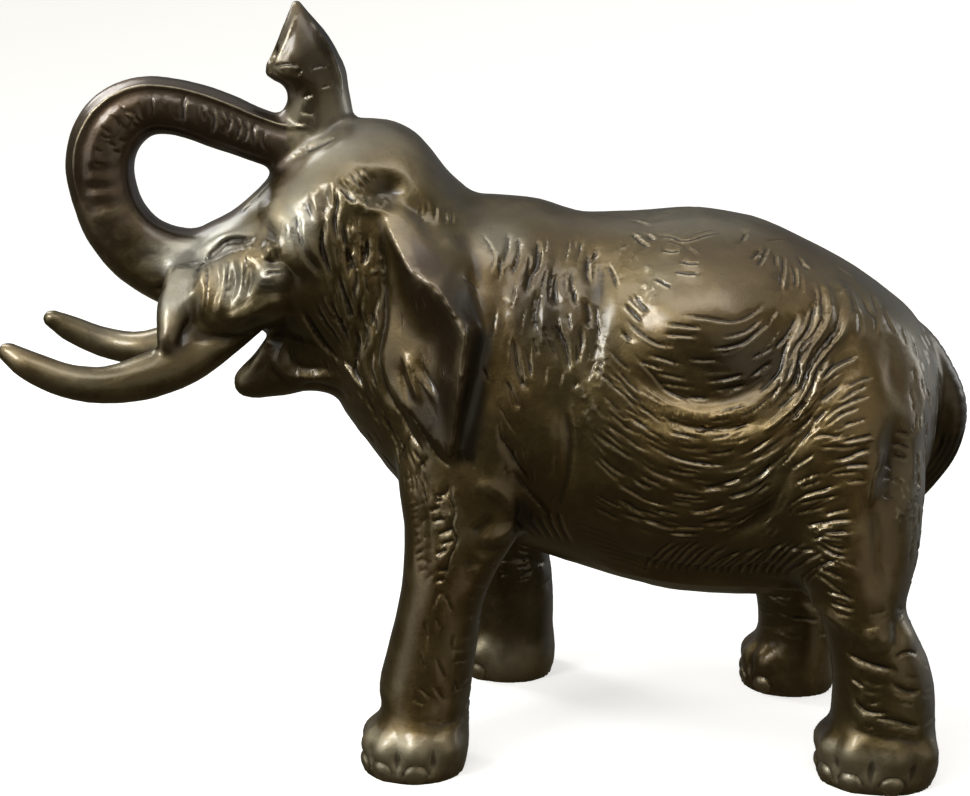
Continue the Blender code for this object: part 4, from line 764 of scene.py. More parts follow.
class Chisel:
    """Raises and lowers the skin along its normals.  A place is two numbers on the skin as seen from
    one of VIEWS, or x, y, z; the head's places are those before its turn."""

    CELL = 1.25
    LOW = np.array((-160.0, -80.0, -10.0))
    CELLS = np.array((270, 128, 190))
    LIGHT = np.array((-0.45, -0.1, 0.9))
    # seen from: the two axes of a place, the axis it is seen along, and from which end of that
    VIEWS = {-1: (0, 2, 1, -1), 1: (0, 2, 1, 1), "top": (0, 1, 2, 1), "back": (1, 2, 0, 1), "front": (1, 2, 0, -1)}

    def __init__(self, skin):
        self.skin = skin
        self.plan = None     # while this is a list, strokes and mounds are planned on this skin, not made
        self.take()

    def take(self):
        """Looks at the skin as it now is."""
        skin = self.skin
        n = skin.normals()
        for _ in range(3):
            n = (n + skin.around(n)) / 2
        self.normal = n / np.linalg.norm(n, axis=1)[:, None]
        self.at = {"body": skin.p.copy(), "head": unturned(skin.p)}
        self.order = {k: np.argsort(p[:, 0]) for k, p in self.at.items()}
        self.sorted_x = {k: p[self.order[k], 0] for k, p in self.at.items()}
        self.lift = np.zeros(len(skin.p))
        self.outer = {}

    def done(self):
        self.skin.p += self.normal * self.lift[:, None]
        self.take()

    def within(self, frame, low, high):
        """Indices of the points inside a box."""
        xs = self.sorted_x[frame]
        some = self.order[frame][np.searchsorted(xs, low[0]):np.searchsorted(xs, high[0])]
        p = self.at[frame][some]
        return some[((p[:, 1:] > low[1:]) & (p[:, 1:] < high[1:])).all(axis=1)]

    def seen(self, frame, side):
        """The skin's outermost points as seen from one side, in cells."""
        if (frame, side) not in self.outer:
            a, b, deep, end = self.VIEWS[side]
            p = self.at[frame]
            rows, columns = self.CELLS[a], self.CELLS[b]
            grid = np.full((rows, columns), -1e9)
            i = ((p[:, a] - self.LOW[a]) / self.CELL).astype(int)
            k = ((p[:, b] - self.LOW[b]) / self.CELL).astype(int)
            np.maximum.at(grid, (i, k), p[:, deep] * end)
            for _ in range(3):
                wide = np.pad(grid, 1, constant_values=-1e9)
                near = np.max([wide[1 + u:rows + 1 + u, 1 + v:columns + 1 + v]
                               for u in (-1, 0, 1) for v in (-1, 0, 1)], axis=0)
                grid = np.where(grid < -1e8, near, grid)
            self.outer[frame, side] = grid
        return self.outer[frame, side]

    def onto(self, frame, side, places):
        """x, y, z of two-number places."""
        a, b, deep, end = self.VIEWS[side]
        places = np.asarray(places, float)
        i = (places[:, 0] - self.LOW[a]) / self.CELL - 0.5
        k = (places[:, 1] - self.LOW[b]) / self.CELL - 0.5
        grid = self.seen(frame, side)
        i = np.clip(i, 0, grid.shape[0] - 2)
        k = np.clip(k, 0, grid.shape[1] - 2)
        i0, k0 = i.astype(int), k.astype(int)
        u, v = i - i0, k - k0
        corners = [grid[i0 + p, k0 + q] for p in (0, 1) for q in (0, 1)]
        top = np.max(corners, axis=0)
        corners = [np.where(c < top - 12, top, c) for c in corners]
        out = np.empty((len(places), 3))
        out[:, a], out[:, b] = places[:, 0], places[:, 1]
        out[:, deep] = end * (corners[0] * (1 - u) * (1 - v) + corners[1] * (1 - u) * v
                              + corners[2] * u * (1 - v) + corners[3] * u * v)
        return out

    def mound(self, frame, side, at, size, height, power=2):
        """A rounded swelling, or a hollow if height is below zero."""
        at = np.asarray(at, float)
        if len(at) == 2:
            at = self.onto(frame, side, at[None])[0]
        if self.plan is not None:
            self.plan.append((self.mound, (frame, side, at, size, height, power), at[None]))
            return
        size = np.asarray(size, float)
        some = self.within(frame, at - size, at + size)
        far = (((self.at[frame][some] - at) / size) ** 2).sum(axis=1)
        self.lift[some] += height * np.clip(1 - far, 0, 1) ** power

    def stroke(self, frame, side, places, width, height, lip=0.0, lip_at=1.7, ends=0.3, reach=None, burr=0.0, sharp=2.0):
        """A ridge along a line, or a crease if height is below zero.  lip raises the skin beside it:
        above zero on the left of the line as it is drawn, seen from outside, below zero on the right.
        burr raises the side of it that faces the light."""
        reach = reach or width * (4.2 if lip or burr else 2.6)
        places = np.asarray(places, float)
        flat = places.shape[1] == 2
        if side == 1:
            lip = -lip      # so that both sides of the animal match
        length = np.linalg.norm(np.diff(places, axis=0), axis=1).sum()
        line = path_spline(places, max(4, int(length / max(width * 0.5, 0.35)) + 1))
        if flat:
            line = self.onto(frame, side, line)
        self.draw(frame, side, line, width, height, lip, lip_at, ends, reach, burr, sharp, flat)

    def draw(self, frame, side, line, width, height, lip, lip_at, ends, reach, burr, sharp, flat):
        if self.plan is not None:
            self.plan.append((self.draw, (frame, side, line, width, height, lip, lip_at, ends, reach, burr, sharp, flat), line))
            return
        some = self.within(frame, line.min(axis=0) - reach, line.max(axis=0) + reach)
        if not len(some):
            return
        p = self.at[frame][some]
        gap = ((p[:, None] - line[None]) ** 2).sum(axis=2)
        nearest = gap.argmin(axis=1)
        keep = gap[np.arange(len(p)), nearest] < reach * reach
        some, p, nearest = some[keep], p[keep], nearest[keep]
        if not len(some):
            return
        along = np.gradient(line, axis=0)[nearest]
        along /= np.maximum(np.linalg.norm(along, axis=1), 1e-9)[:, None]
        away = p - line[nearest]
        outward = self.normal[some]
        facing = 1.0
        if flat:
            deep, end = self.VIEWS[side][2:]
            facing = np.clip(outward[:, deep] * end * 4 + 1.2, 0, 1)
        across = (np.cross(outward, along) * away).sum(axis=1) / width
        past = (away * along).sum(axis=1) / width
        t = nearest / (len(line) - 1)
        fade = ease(np.minimum(t, 1 - t) / ends) if ends else 1.0
        shape = height * np.exp(-np.abs(across) ** sharp - past**2)
        if burr:
            lit = np.cross(outward, along) @ self.LIGHT
            lip = -burr if lit.mean() > 0 else burr
        if lip:
            shape = shape + abs(lip) * np.exp(-((across - math.copysign(lip_at, lip)) / 1.15) ** 2 - past**2)
        self.lift[some] += shape * fade * facing

    def make(self, plan):
        """Makes what was planned on a coarser skin."""
        for what, given, _ in plan:
            getattr(self, what.__name__)(*given)


def close_to(points, places, cell=1.1):
    """Which points have one of these places within about a cell."""
    def key(p):
        q = np.floor((p + 500) / cell).astype(np.int64)
        return (q[:, 0] * 2000 + q[:, 1]) * 2000 + q[:, 2]
    spots = np.unique(key(places))
    steps = [(i * 2000 + j) * 2000 + k for i in (-1, 0, 1) for j in (-1, 0, 1) for k in (-1, 0, 1)]
    return np.isin(key(points), np.unique(np.concatenate([spots + s for s in steps])))


def trunk_frame(points):
    """For points before the turn: distance along the trunk, angle round it from its outer side,
    and distance from its middle line in radii."""
    line = path_spline([(x, 0, z, r) for x, z, r, _ in TRUNK], 240)
    steps = np.concatenate([[0], np.cumsum(np.linalg.norm(np.diff(line[:, :3], axis=0), axis=1))])
    near = ((points[:, None, [0, 2]] - line[None, :, [0, 2]]) ** 2).sum(axis=2).argmin(axis=1)
    along = np.gradient(line[:, :3], axis=0)[near]
    along /= np.linalg.norm(along, axis=1)[:, None]
    away = points - line[near, :3]
    outward = np.stack([-along[:, 2], 0 * along[:, 0], along[:, 0]], axis=1)
    out, side = (away * outward).sum(axis=1), points[:, 1]
    return (steps[near] + (away * along).sum(axis=1), np.arctan2(side, out),
            np.hypot(out, side) / line[near, 3])


def trunk_relief(chisel):
    """The edge on each side of the trunk's outer band, and the soft folds near its root."""
    some = chisel.within("head", np.array((-125, -14, 120)), np.array((-56, 14, 200)))
    station, turn, radii = trunk_frame(chisel.at["head"][some])
    on = (radii < 1.5) & (station > 12) & (station < 140)
    some, station, turn = some[on], station[on], np.abs(np.degrees(turn[on]))
    fade = ease((station - 30) / 26) * ease((140 - station) / 8)
    chisel.lift[some] += fade * (0.5 * np.exp(-((turn - 50) / 8) ** 2) - 0.45 * np.exp(-((turn - 66) / 10) ** 2))
    for side in (-1, 1):
        for k, places in enumerate(TRUNK_FOLDS):
            chisel.stroke("head", side, places, 1.5, -(0.5, 0.35, 0.55, 0.4, 0.5, 0.4, 0.45, 0.25)[k], lip=0.25, ends=0.3)
def feet():
    """Each foot: side, front x, back x, middle, half width near the ground."""
    for side, table in ((-1, FRONT_LEFT), (1, FRONT_RIGHT), (-1, HIND_LEFT), (1, HIND_RIGHT)):
        z, front, back, middle, half = table[1]
        yield side, front, back, side * middle, half


# ------------------------------------------------------------------ larger relief, on the coarser skin
def head_relief(chisel):
    c = chisel
    for side in (-1, 1):
        # the nose hangs over the cheek, which is sunk under it, and runs down into the lip over the tusk
        c.mound("head", side, (-88.2, 133.4), (7.6, 12, 10), 1.7)
        c.mound("head", side, (-88.6, 125.6), (4.4, 10, 4.4), 0.7)
        c.mound("head", side, (-88.6, 140.6), (9.5, 12, 7.4), 0.9)
        c.mound("head", side, (-71.5, 139.5), (9.5, 14, 9), -2.4)
        c.stroke("head", side, LIP, 0.95, -1.3, ends=0.3)
        c.stroke("head", side, [(x - 1.4, z + 1.7) for x, z in LIP], 1.6, 0.5, ends=0.35)
        c.stroke("head", side, ((-79, 146), (-79.8, 140.2), (-82.7, 134.8), (-84.6, 131)), 1.3, 0.7, ends=0.3)
        c.stroke("head", side, ((-82.2, 130.6), (-83.2, 127.8), (-84.1, 124.9), (-85.4, 121.9)), 0.9, -0.9, ends=0.3)
        c.stroke("head", side, ((-97, 134.2), (-95, 134.7), (-93, 135.3), (-88.9, 136.4)), 0.9, -1.0, ends=0.3)
        c.stroke("head", side, ((-84, 128.6), (-84.2, 126.6), (-84.9, 124.2), (-86.6, 121.6)), 0.9, -1.1, ends=0.25)
        for places in (((-79, 145), (-78.6, 137), (-80, 128)), ((-74.6, 147), (-73.6, 139), (-75.4, 129)), ((-69.8, 147.5), (-68.9, 140), (-70.6, 132))):
            c.stroke("head", side, places, 1.5, 0.55, ends=0.3)
        for places in (((-76.8, 146.4), (-76, 139), (-77.6, 128)), ((-72.2, 147.6), (-71.2, 140), (-73, 131)), ((-67, 147), (-66.4, 140), (-68, 134))):
            c.stroke("head", side, places, 1.0, -0.45, ends=0.3)
        # margin of the cheek over the tusk, and the rolled lip behind it
        c.stroke("head", side, ((-84, 123.5), (-78, 123.6), (-70, 123), (-63, 124)), 1.3, -1.0)
        c.stroke("head", side, ((-74.4, 129.1), (-69.1, 129.6), (-64.7, 132), (-61.2, 133.8), (-58.6, 133.8), (-56.6, 131.8)), 1.6, 1.3, ends=0.2)
        c.mound("head", side, (-65, 127.4), (6, 12, 3.6), -1.2)
        # eye, its lids, and the smooth tongue of skin that comes down from the temple behind it
        c.mound("head", side, (-59.6, 140), (6, 10, 5), 2.0)
        c.mound("head", side, (-60.6, 147.9), (3.0, 6, 4.0), 1.9)
        c.stroke("head", side, ((-61.6, 144.4), (-59.6, 143.6), (-57.4, 144)), 0.9, -0.6, ends=0.3)
        c.stroke("head", side, ((-62, 163), (-60, 157.5), (-57, 152.5), (-53.4, 146.8), (-50, 140.4)), 4.0, 1.1, sharp=3.5, ends=0.25)
        c.stroke("head", side, ((-64, 155.8), (-60.9, 152.8), (-58.6, 147), (-54.4, 141), (-50.2, 137.6)), 1.1, -1.1, ends=0.35)
        c.stroke("head", side, ((-53, 158.4), (-53.3, 153.2), (-52, 148.1), (-49.4, 143.9), (-46.6, 139)), 0.8, -1.3, lip=-0.8, ends=0.25)
        c.stroke("head", side, ((-51.6, 158.6), (-51.6, 153.2), (-50, 148.2), (-47.4, 142.6)), 1.4, 0.8, ends=0.3)
        # flames of smooth skin that rise from the temple into the brow
        for spine, before, behind in (
                (((-49.2, 165.6), (-48.3, 161), (-47.4, 156)), ((-50.9, 162), (-50.3, 158.6), (-49.4, 154.6)), ((-47.6, 164), (-46.4, 160), (-45.4, 155))),
                (((-43.9, 168.2), (-43, 163.5), (-41.6, 159.6)), ((-45.8, 165.6), (-44.9, 161), (-44.2, 156.5)), ((-42.1, 167), (-39.6, 163.4), (-37.4, 161.2)))):
            c.stroke("head", side, spine, 0.9, 0.5, ends=0.35)
            c.stroke("head", side, before, 0.8, -0.8, ends=0.4)
            c.stroke("head", side, behind, 0.8, -0.9, ends=0.4)
        # the near corner of the trunk's end
        c.stroke("head", side, ((-60, side * 4, 195.4), (-61.4, side * 2.4, 194.8), (-62, 0, 194.5)), 1.2, 0.5, ends=0.2)
        # hollow behind the brow, running down over the root of the ear; a rough ridge under it
        c.mound("head", side, (-29.2, 163.6), (8, 13, 6.4), -2.6)
        c.stroke("head", side, ((-26, 162), (-21, 158.6), (-16, 154), (-11, 149.6)), 3.0, -1.2)
        c.stroke("head", side, ((-40.4, 160.4), (-35.8, 159.3), (-31, 158), (-26, 157.6)), 1.8, 1.0)
        c.stroke("head", side, ((-40, 170), (-36, 170.6), (-31, 170)), 1.8, 0.4)
        for places, deep in VEILS:
            c.stroke("head", side, places, 1.1, -deep, burr=0.6 * deep, ends=0.35)
        c.mound("head", side, (-35.8, 147), (4.6, 10, 8), -0.8)
        # jaw: a raised loop of lip round a sunk place
        c.stroke("head", side, ((-59, 126), (-62.3, 121.5), (-66.8, 114), (-70, 109)), 1.3, 0.8, ends=0.2)
        c.stroke("head", side, ((-56.6, 123), (-58.6, 118), (-60, 113.4), (-58.1, 109.9), (-52.9, 109.1), (-47.1, 109.8), (-41, 108.8)), 1.3, 0.9, ends=0.25)
        c.stroke("head", side, ((-55.8, 119.6), (-56.4, 114), (-52.4, 112), (-45, 112.6)), 1.4, -1.0)
        c.stroke("head", side, ((-62.6, 114.5), (-61.4, 110), (-57, 106.4)), 1.1, -0.8)
        c.stroke("head", side, ((-55.7, 105.4), (-50.1, 106.6), (-44.4, 105.4), (-40.1, 103.4)), 1.0, -0.7)
        # ear: dished face, two folds, and the gap in front of it
        c.mound("head", side, (-17, 124), (11, 9, 17), -1.3)
        c.stroke("head", side, ((-25.9, 121), (-23.5, 114.8), (-21.3, 108.7), (-20.6, 104.6)), 0.9, 0.9, ends=0.3)
        c.stroke("head", side, ((-25.3, 121), (-22, 115.6), (-18, 110.8), (-15, 106.4)), 0.9, 0.8, ends=0.3)
        c.stroke("head", side, ((-27, 117), (-24.8, 111), (-22.8, 105)), 1.1, -0.7)
        c.stroke("head", side, ((-22.6, 118.4), (-18.6, 113.6), (-14.4, 109.6)), 1.1, -0.6)
        c.stroke("head", side, ((-31.2, 154), (-30.6, 146), (-30, 136), (-30.4, 127.5), (-32, 120), (-31.8, 114), (-29.6, 107.5), (-25.6, 102.5)),
                 1.1, -1.3, ends=0.15)
        for places in NECK:
            c.stroke("head", side, places, 1.2, -0.35, burr=0.1, ends=0.3)


def body_relief(chisel):
    c = chisel
    for side in (-1, 1):
        # shoulder: draped folds, and the valley between it and the flank
        c.mound("body", side, (4, 147), (9, 14, 12), 1.1)
        for places, high in ((((5.6, 153), (5.2, 144), (3.6, 134), (4.4, 122)), 0.5), (((13.6, 152), (13.4, 143), (11.6, 133), (12.8, 121)), 0.55),
                             (((20, 151), (19.2, 142), (19.6, 132), (22, 121)), 0.6), (((27, 150), (26.4, 141), (27.2, 131), (27.4, 119)), 0.6),
                             (((39, 151), (38.8, 143), (39.6, 134), (42, 127)), 0.25)):
            c.stroke("body", side, places, 2.3, high, ends=0.3)
        c.stroke("body", side, ((34.6, 149.4), (34, 142), (33.6, 134), (33.4, 126), (31.6, 118), (29.4, 111)), 2.3, -1.1, ends=0.25)
        c.stroke("body", side, ((24.6, 112), (26.2, 104), (27, 97), (26.3, 88), (24.6, 80), (24, 73)), 0.9, -1.0, burr=0.3)
        c.stroke("body", side, ((22, 108), (23.6, 98), (23.4, 86), (21.6, 77)), 2.2, 0.7)
        c.mound("body", side, (10, 96), (15, 16, 24), 1.0)
        for k, deep in ((0, 0.4), (1, 0.45), (2, 0.65), (3, 0.5), (5, 0.4), (8, 0.45), (9, 0.5), (10, 0.65), (11, 0.6), (14, 0.5), (15, 0.5), (17, 0.4), (19, 0.5), (20, 0.5)):
            c.stroke("body", side, SHOULDER[k], 1.15, -deep, burr=0.5 * deep, ends=0.22)
        # flank: a smooth swelling, the rasped ledge under it and a rounded fold under that
        c.mound("body", side, (61, 138), (30, 20, 26), 2.6)
        c.mound("body", side, (63, 127), (24, 18, 17), 2.6)
        c.stroke("body", side, ((37, 121), (45, 114.6), (54, 111.4), (62, 110), (70, 111.2), (77, 115), (82, 121), (85, 130)), 2.6, -1.3, ends=0.25)
        c.stroke("body", side, ((49, 109), (55, 106.9), (62, 105.6), (70, 106.4), (77, 109), (81, 113)), 2.1, 1.0, sharp=2.6, ends=0.35)
        c.stroke("body", side, ((51, 104.6), (58, 102.7), (66, 102.1), (72, 103.1), (77.4, 105.2)), 0.8, -0.9, burr=0.35, ends=0.3)
        c.stroke("body", side, ((43, 104.2), (52, 100.8), (60, 99.3), (67, 99), (74.4, 100.3), (79.6, 103.2), (84, 107)), 2.3, 1.2, ends=0.35)
        # the folds that run from there up to the hip
        for places, high in zip(HIP, (1.0, 0.7, 0.6, 0.5, 0.7)):
            c.stroke("body", side, [(x + 1.2, z - 0.8) for x, z in places], 1.4, 0.75 * high, ends=0.2)
            c.stroke("body", side, places, 0.75, -0.75 * high, lip=-0.6 * high, ends=0.18)
        c.stroke("body", side, ((103, 118), (96, 111.4), (90.4, 104.6), (86, 98), (81, 90), (74, 83)), 2.8, -1.3, ends=0.25)
        for k in (3, 4, 5, 6, 7):
            c.stroke("body", side, FLANK[k], 1.3, -0.22, burr=0.14, ends=0.3)
        c.mound("body", side, (102, 100), (17, 16, 26), 1.9)
        c.mound("body", side, (80, 76), (11, 14, 15), -1.5)
        c.stroke("body", side, ((97.5, 141), (101.5, 135.5), (102, 130), (99, 125)), 2.0, 0.8)
        c.stroke("body", side, ((91, 96.5), (88.1, 93.6), (85.2, 89.6), (83.1, 85.3), (80.8, 79.9), (75.2, 74.2), (67.2, 70.8)), 2.2, -1.3)
        # roll along the belly, running into the front of the thigh
        c.stroke("body", side, ((32.2, 59.7), (40.8, 56.9), (52, 55.4), (63.1, 54.6), (74.1, 54.8), (85.7, 53.4), (95, 51.5), (102, 47.5), (107, 43)), 2.2, 1.3, ends=0.12)
        c.stroke("body", side, ((36, 64), (50, 60.5), (66, 59), (80, 61), (90, 60)), 2.4, -1.1, ends=0.2)
        # haunch: broad soft folds
        for k in (1, 4, 7, 10, 13):
            c.stroke("body", side, HAUNCH[k], 1.9, 0.55, ends=0.35)
        # rump: a soft roll beside the tail, and the recess in front of it
        c.stroke("body", side, ((112, 128), (113, 118), (111.6, 108)), 3.2, -0.8)
        c.stroke("body", side, ((118.6, 124), (121.4, 110), (120.6, 94)), 3.0, 0.8)
        c.mound("body", side, (113, 93), (6.8, 13, 16), -2.3)
        c.stroke("body", side, ((107.4, 84), (107.8, 74), (109, 64), (110.6, 56)), 1.7, -0.6)
        c.stroke("body", side, ((110.3, 98.4), (107.6, 91.2), (106.6, 86.4), (106.1, 79.8)), 1.3, 0.7, ends=0.3)
    for side, knee in ((-1, 110), (1, 96)):
        c.mound("body", side, (knee + 0.4, 45.7), (5.6, 9, 5.6), 1.5)
        c.mound("body", side, (knee + 9.6, 45), (4.6, 8, 6.5), 0.8)
        c.stroke("body", side, ((knee + 5, 51), (knee + 5.2, 46.6), (knee + 4.4, 41.8)), 1.1, -0.6)
        for places, deep in ((((-8.3, 40.4), (-2.5, 38.3), (6.4, 36.4)), 1.0), (((4.4, 39.7), (8.1, 40.6), (12.5, 39.8)), 0.3), (((4.2, 33.2), (8.4, 30.8), (13.5, 29.9)), 0.6),
                             (((-5.2, 27.6), (-1.8, 24.4), (5, 24.6)), 0.6), (((-0.5, 22.8), (5.6, 22.5), (13.7, 19.8)), 0.5),
                             (((-7.1, 19.7), (-2.4, 18.1), (2.7, 17.6), (9, 16.8), (17.3, 14.3)), 0.9)):
            c.stroke("body", side, [(knee + x, z) for x, z in places], 1.1, -0.7 * deep, burr=0.3 * deep, ends=0.3)
    for side, knee in ((-1, -10), (1, 5)):
        c.stroke("body", side, ((knee + 4, 85), (knee + 5, 76.7), (knee + 6, 70.2), (knee + 3.2, 62.7), (knee + 1.9, 55.1)), 2.4, 0.4)
        c.stroke("body", side, ((knee - 5, 84), (knee - 3.4, 72), (knee - 3.6, 60), (knee - 2, 52)), 2.0, -0.7)
        c.stroke("body", side, ((knee + 15, 78), (knee + 10.5, 66), (knee + 8, 54)), 2.4, -0.8)
        for places in LEG_FRONT:
            c.stroke("body", side, [(knee + x, z) for x, z in places], 0.9, -0.3, burr=0.12, ends=0.4)
        # elbow: a crescent fold round a hollow
        c.stroke("body", side, [(knee + x, z) for x, z in ((8.7, 83.4), (14, 84.4), (18.4, 82.4), (21.2, 78.2), (21.2, 73), (17.6, 70.1), (10.4, 69.1))], 1.9, 1.2, ends=0.25)
        c.stroke("body", side, [(knee + x, z) for x, z in ((16.8, 76.6), (13.2, 72.9), (8.7, 72.2))], 1.3, -0.6)
        c.stroke("body", side, [(knee + x, z) for x, z in ((20.6, 67), (16.6, 65.7), (11.3, 66))], 1.2, -0.6, burr=0.2)
        c.stroke("body", side, [(knee + x, z) for x, z in ((6, 62.6), (10.4, 62.1), (14, 62.1))], 1.0, -0.4, burr=0.2)
        c.mound("body", side, (knee + 23.4, 75), (4.6, 9, 7), -1.3)
        for places in (((-5, 18.1), (-1.2, 16.8), (4.1, 16.5), (9, 16.9)), ((-4.4, 15.4), (-0.3, 14.5), (5, 14.5))):
            c.stroke("body", side, [(knee + x, z) for x, z in places], 1.1, -0.7, burr=0.3, ends=0.25)
    for side, table, arcs in ((-1, HIND_LEFT, (24, 30, 36, 42, 48, 55)), (1, HIND_RIGHT, (24, 30, 36, 42, 48, 55)),
                              (-1, FRONT_LEFT, (22, 31, 42, 52, 63)), (1, FRONT_RIGHT, (31, 42, 52, 63))):
        ring_cuts(c, side, table, arcs, arc=(175, 345), dash=(40, 100), width=1.3, depth=0.4, seed=39, sag=2.2)
    # toes: broad pads round the foot, and creases between
    for side, front, back, middle, half in feet():
        long = (back - front) / 2
        centre = (front + back) / 2
        pad = 9.8 if front < 50 else 11.4
        for lean in TOES + (136,):
            a = math.radians(lean)
            x, y = centre - math.cos(a) * long, middle + side * math.sin(a) * half
            c.mound("body", side, (x, y, pad), (6.4, 6.4, 6.2), 1.9)
        for lean in TOES:
            a = math.radians(lean + 19)
            x, y = centre - math.cos(a) * long, middle + side * math.sin(a) * half
            c.mound("body", side, (x, y, 7.4), (1.7, 1.7, 7.5), -1.0)


# ------------------------------------------------------------------ chasing, on the finer skin
def even(line, count=60):
    return path_spline(line, count)


def dashes(chisel, frame, side, guides, rows, dash=(3.5, 10), gap=(1.0, 3.5), wander=0.3,
           width=0.38, depth=0.36, lip=0.14, skip=0.08, seed=1, span=(0.0, 1.0), tilt=0.02):
    """Broken cuts between guide lines.  A row is a place between two guides: 2.5 is midway from the third to the fourth."""
    rng = np.random.default_rng(seed * 2 + (side == 1))
    lines = np.array([even(g) for g in guides])
    for row in rows:
        i = min(int(row), len(lines) - 2)
        base = lines[i] + (lines[i + 1] - lines[i]) * (row - i)
        steps = np.concatenate([[0], np.cumsum(np.linalg.norm(np.diff(base, axis=0), axis=1))])
        end = steps[-1] * span[1]
        at = steps[-1] * span[0] + rng.uniform(0, gap[1])
        while at < end - dash[0] * 0.5:
            size = min(rng.uniform(*dash), end - at)
            if rng.random() > skip:
                where = np.linspace(at, at + size, 5)
                places = np.stack([np.interp(where, steps, base[:, k]) for k in range(base.shape[1])], axis=1)
                way = places[-1] - places[0]
                way = np.array((-way[1], way[0]) if len(way) == 2 else np.cross(way, (0, 0, 1)))
                way /= max(np.linalg.norm(way), 1e-6)
                lean = rng.normal(0, wander) + np.linspace(-1, 1, 5) * rng.normal(0, tilt) * size
                lean = lean + rng.normal(0, 0.05, 5)
                places = places + lean[:, None] * way
                chisel.stroke(frame, side, places, width * rng.uniform(0.8, 1.2), -depth * rng.uniform(0.6, 1.2),
                              burr=lip, ends=0.34)
            at += size + rng.uniform(*gap)


def cut(chisel, frame, side, places, strong=1.0):
    """One cut of the graver, which throws up a burr."""
    chisel.stroke(frame, side, places, 0.34 + 0.08 * strong, -0.4 * strong ** 0.6, burr=0.17 * strong, ends=0.26)


def hatch(chisel, frame, side, start, end, count, length, lean, width=0.38, depth=0.25, seed=3, bend=0.0):
    """Short parallel cuts spread from start to end, each leaning lean degrees from upright."""
    rng = np.random.default_rng(seed * 2 + (side == 1))
    start, end = np.asarray(start, float), np.asarray(end, float)
    for k in range(count):
        t = (k + rng.uniform(-0.25, 0.25)) / max(count - 1, 1)
        middle = start + (end - start) * t + rng.normal(0, 0.35, len(start))
        a = math.radians(lean + rng.normal(0, 7))
        half = length * rng.uniform(0.3, 0.6)
        way = np.array((math.sin(a), math.cos(a)))
        bow = np.array((way[1], -way[0])) * bend * half
        chisel.stroke(frame, side, (middle - way * half, middle + bow, middle + way * half), width * rng.uniform(0.8, 1.2),
                      -depth * rng.uniform(0.6, 1.2), burr=0.3 * depth, ends=0.4)


def punched(chisel, frame, side, at, size, count, grain=1.0, height=0.3, seed=5):
    """A patch of small lumps and pits, thick in its middle and thin at its edge."""
    rng = np.random.default_rng(seed * 2 + (side == 1))
    for _ in range(count):
        a, r = rng.uniform(0, 2 * math.pi), rng.uniform(0, 1) ** 0.6
        place = (at[0] + math.cos(a) * r * size[0], at[1] + math.sin(a) * r * size[1])
        g = grain * rng.uniform(0.7, 1.5)
        chisel.mound(frame, side, place, (g, g * 2, g * rng.uniform(0.8, 1.4)), height * rng.uniform(0.5, 1.1) * rng.choice((1, -1), p=(0.6, 0.4)))


def ring_cuts(chisel, side, table, heights, arc=(0, 360), dash=(25, 70), width=0.4, depth=0.3, seed=7, sag=1.0, reach=3.2):
    """Cuts that run round a leg at these heights, over part of the turn.  0 is its front, 90 its outer side."""
    rng = np.random.default_rng(seed * 2 + (side == 1))
    rows = spline(table, 80, by=0)
    for z in heights:
        at = arc[0] + rng.uniform(0, 12)
        while at < arc[1]:
            size = rng.uniform(*dash)
            turn = np.radians(np.linspace(at, min(at + size, arc[1]), 7))
            lift = z + rng.normal(0, 0.5) + sag * np.sin(2 * turn + rng.uniform(0, 6)) + rng.normal(0, 0.12, 7)
            f, b, m, h = (np.interp(lift, rows[:, 0], rows[:, k]) for k in (1, 2, 3, 4))
            x = (f + b) / 2 - np.cos(turn) * (b - f) / 2
            y = side * (m + np.sin(turn) * h)
            chisel.stroke("body", side, np.stack([x, y, lift], axis=1), width * rng.uniform(0.8, 1.2),
                          -depth * rng.uniform(0.5, 1.2), ends=0.35, reach=reach, burr=0.4 * depth)
            at += size + rng.uniform(6, 22)


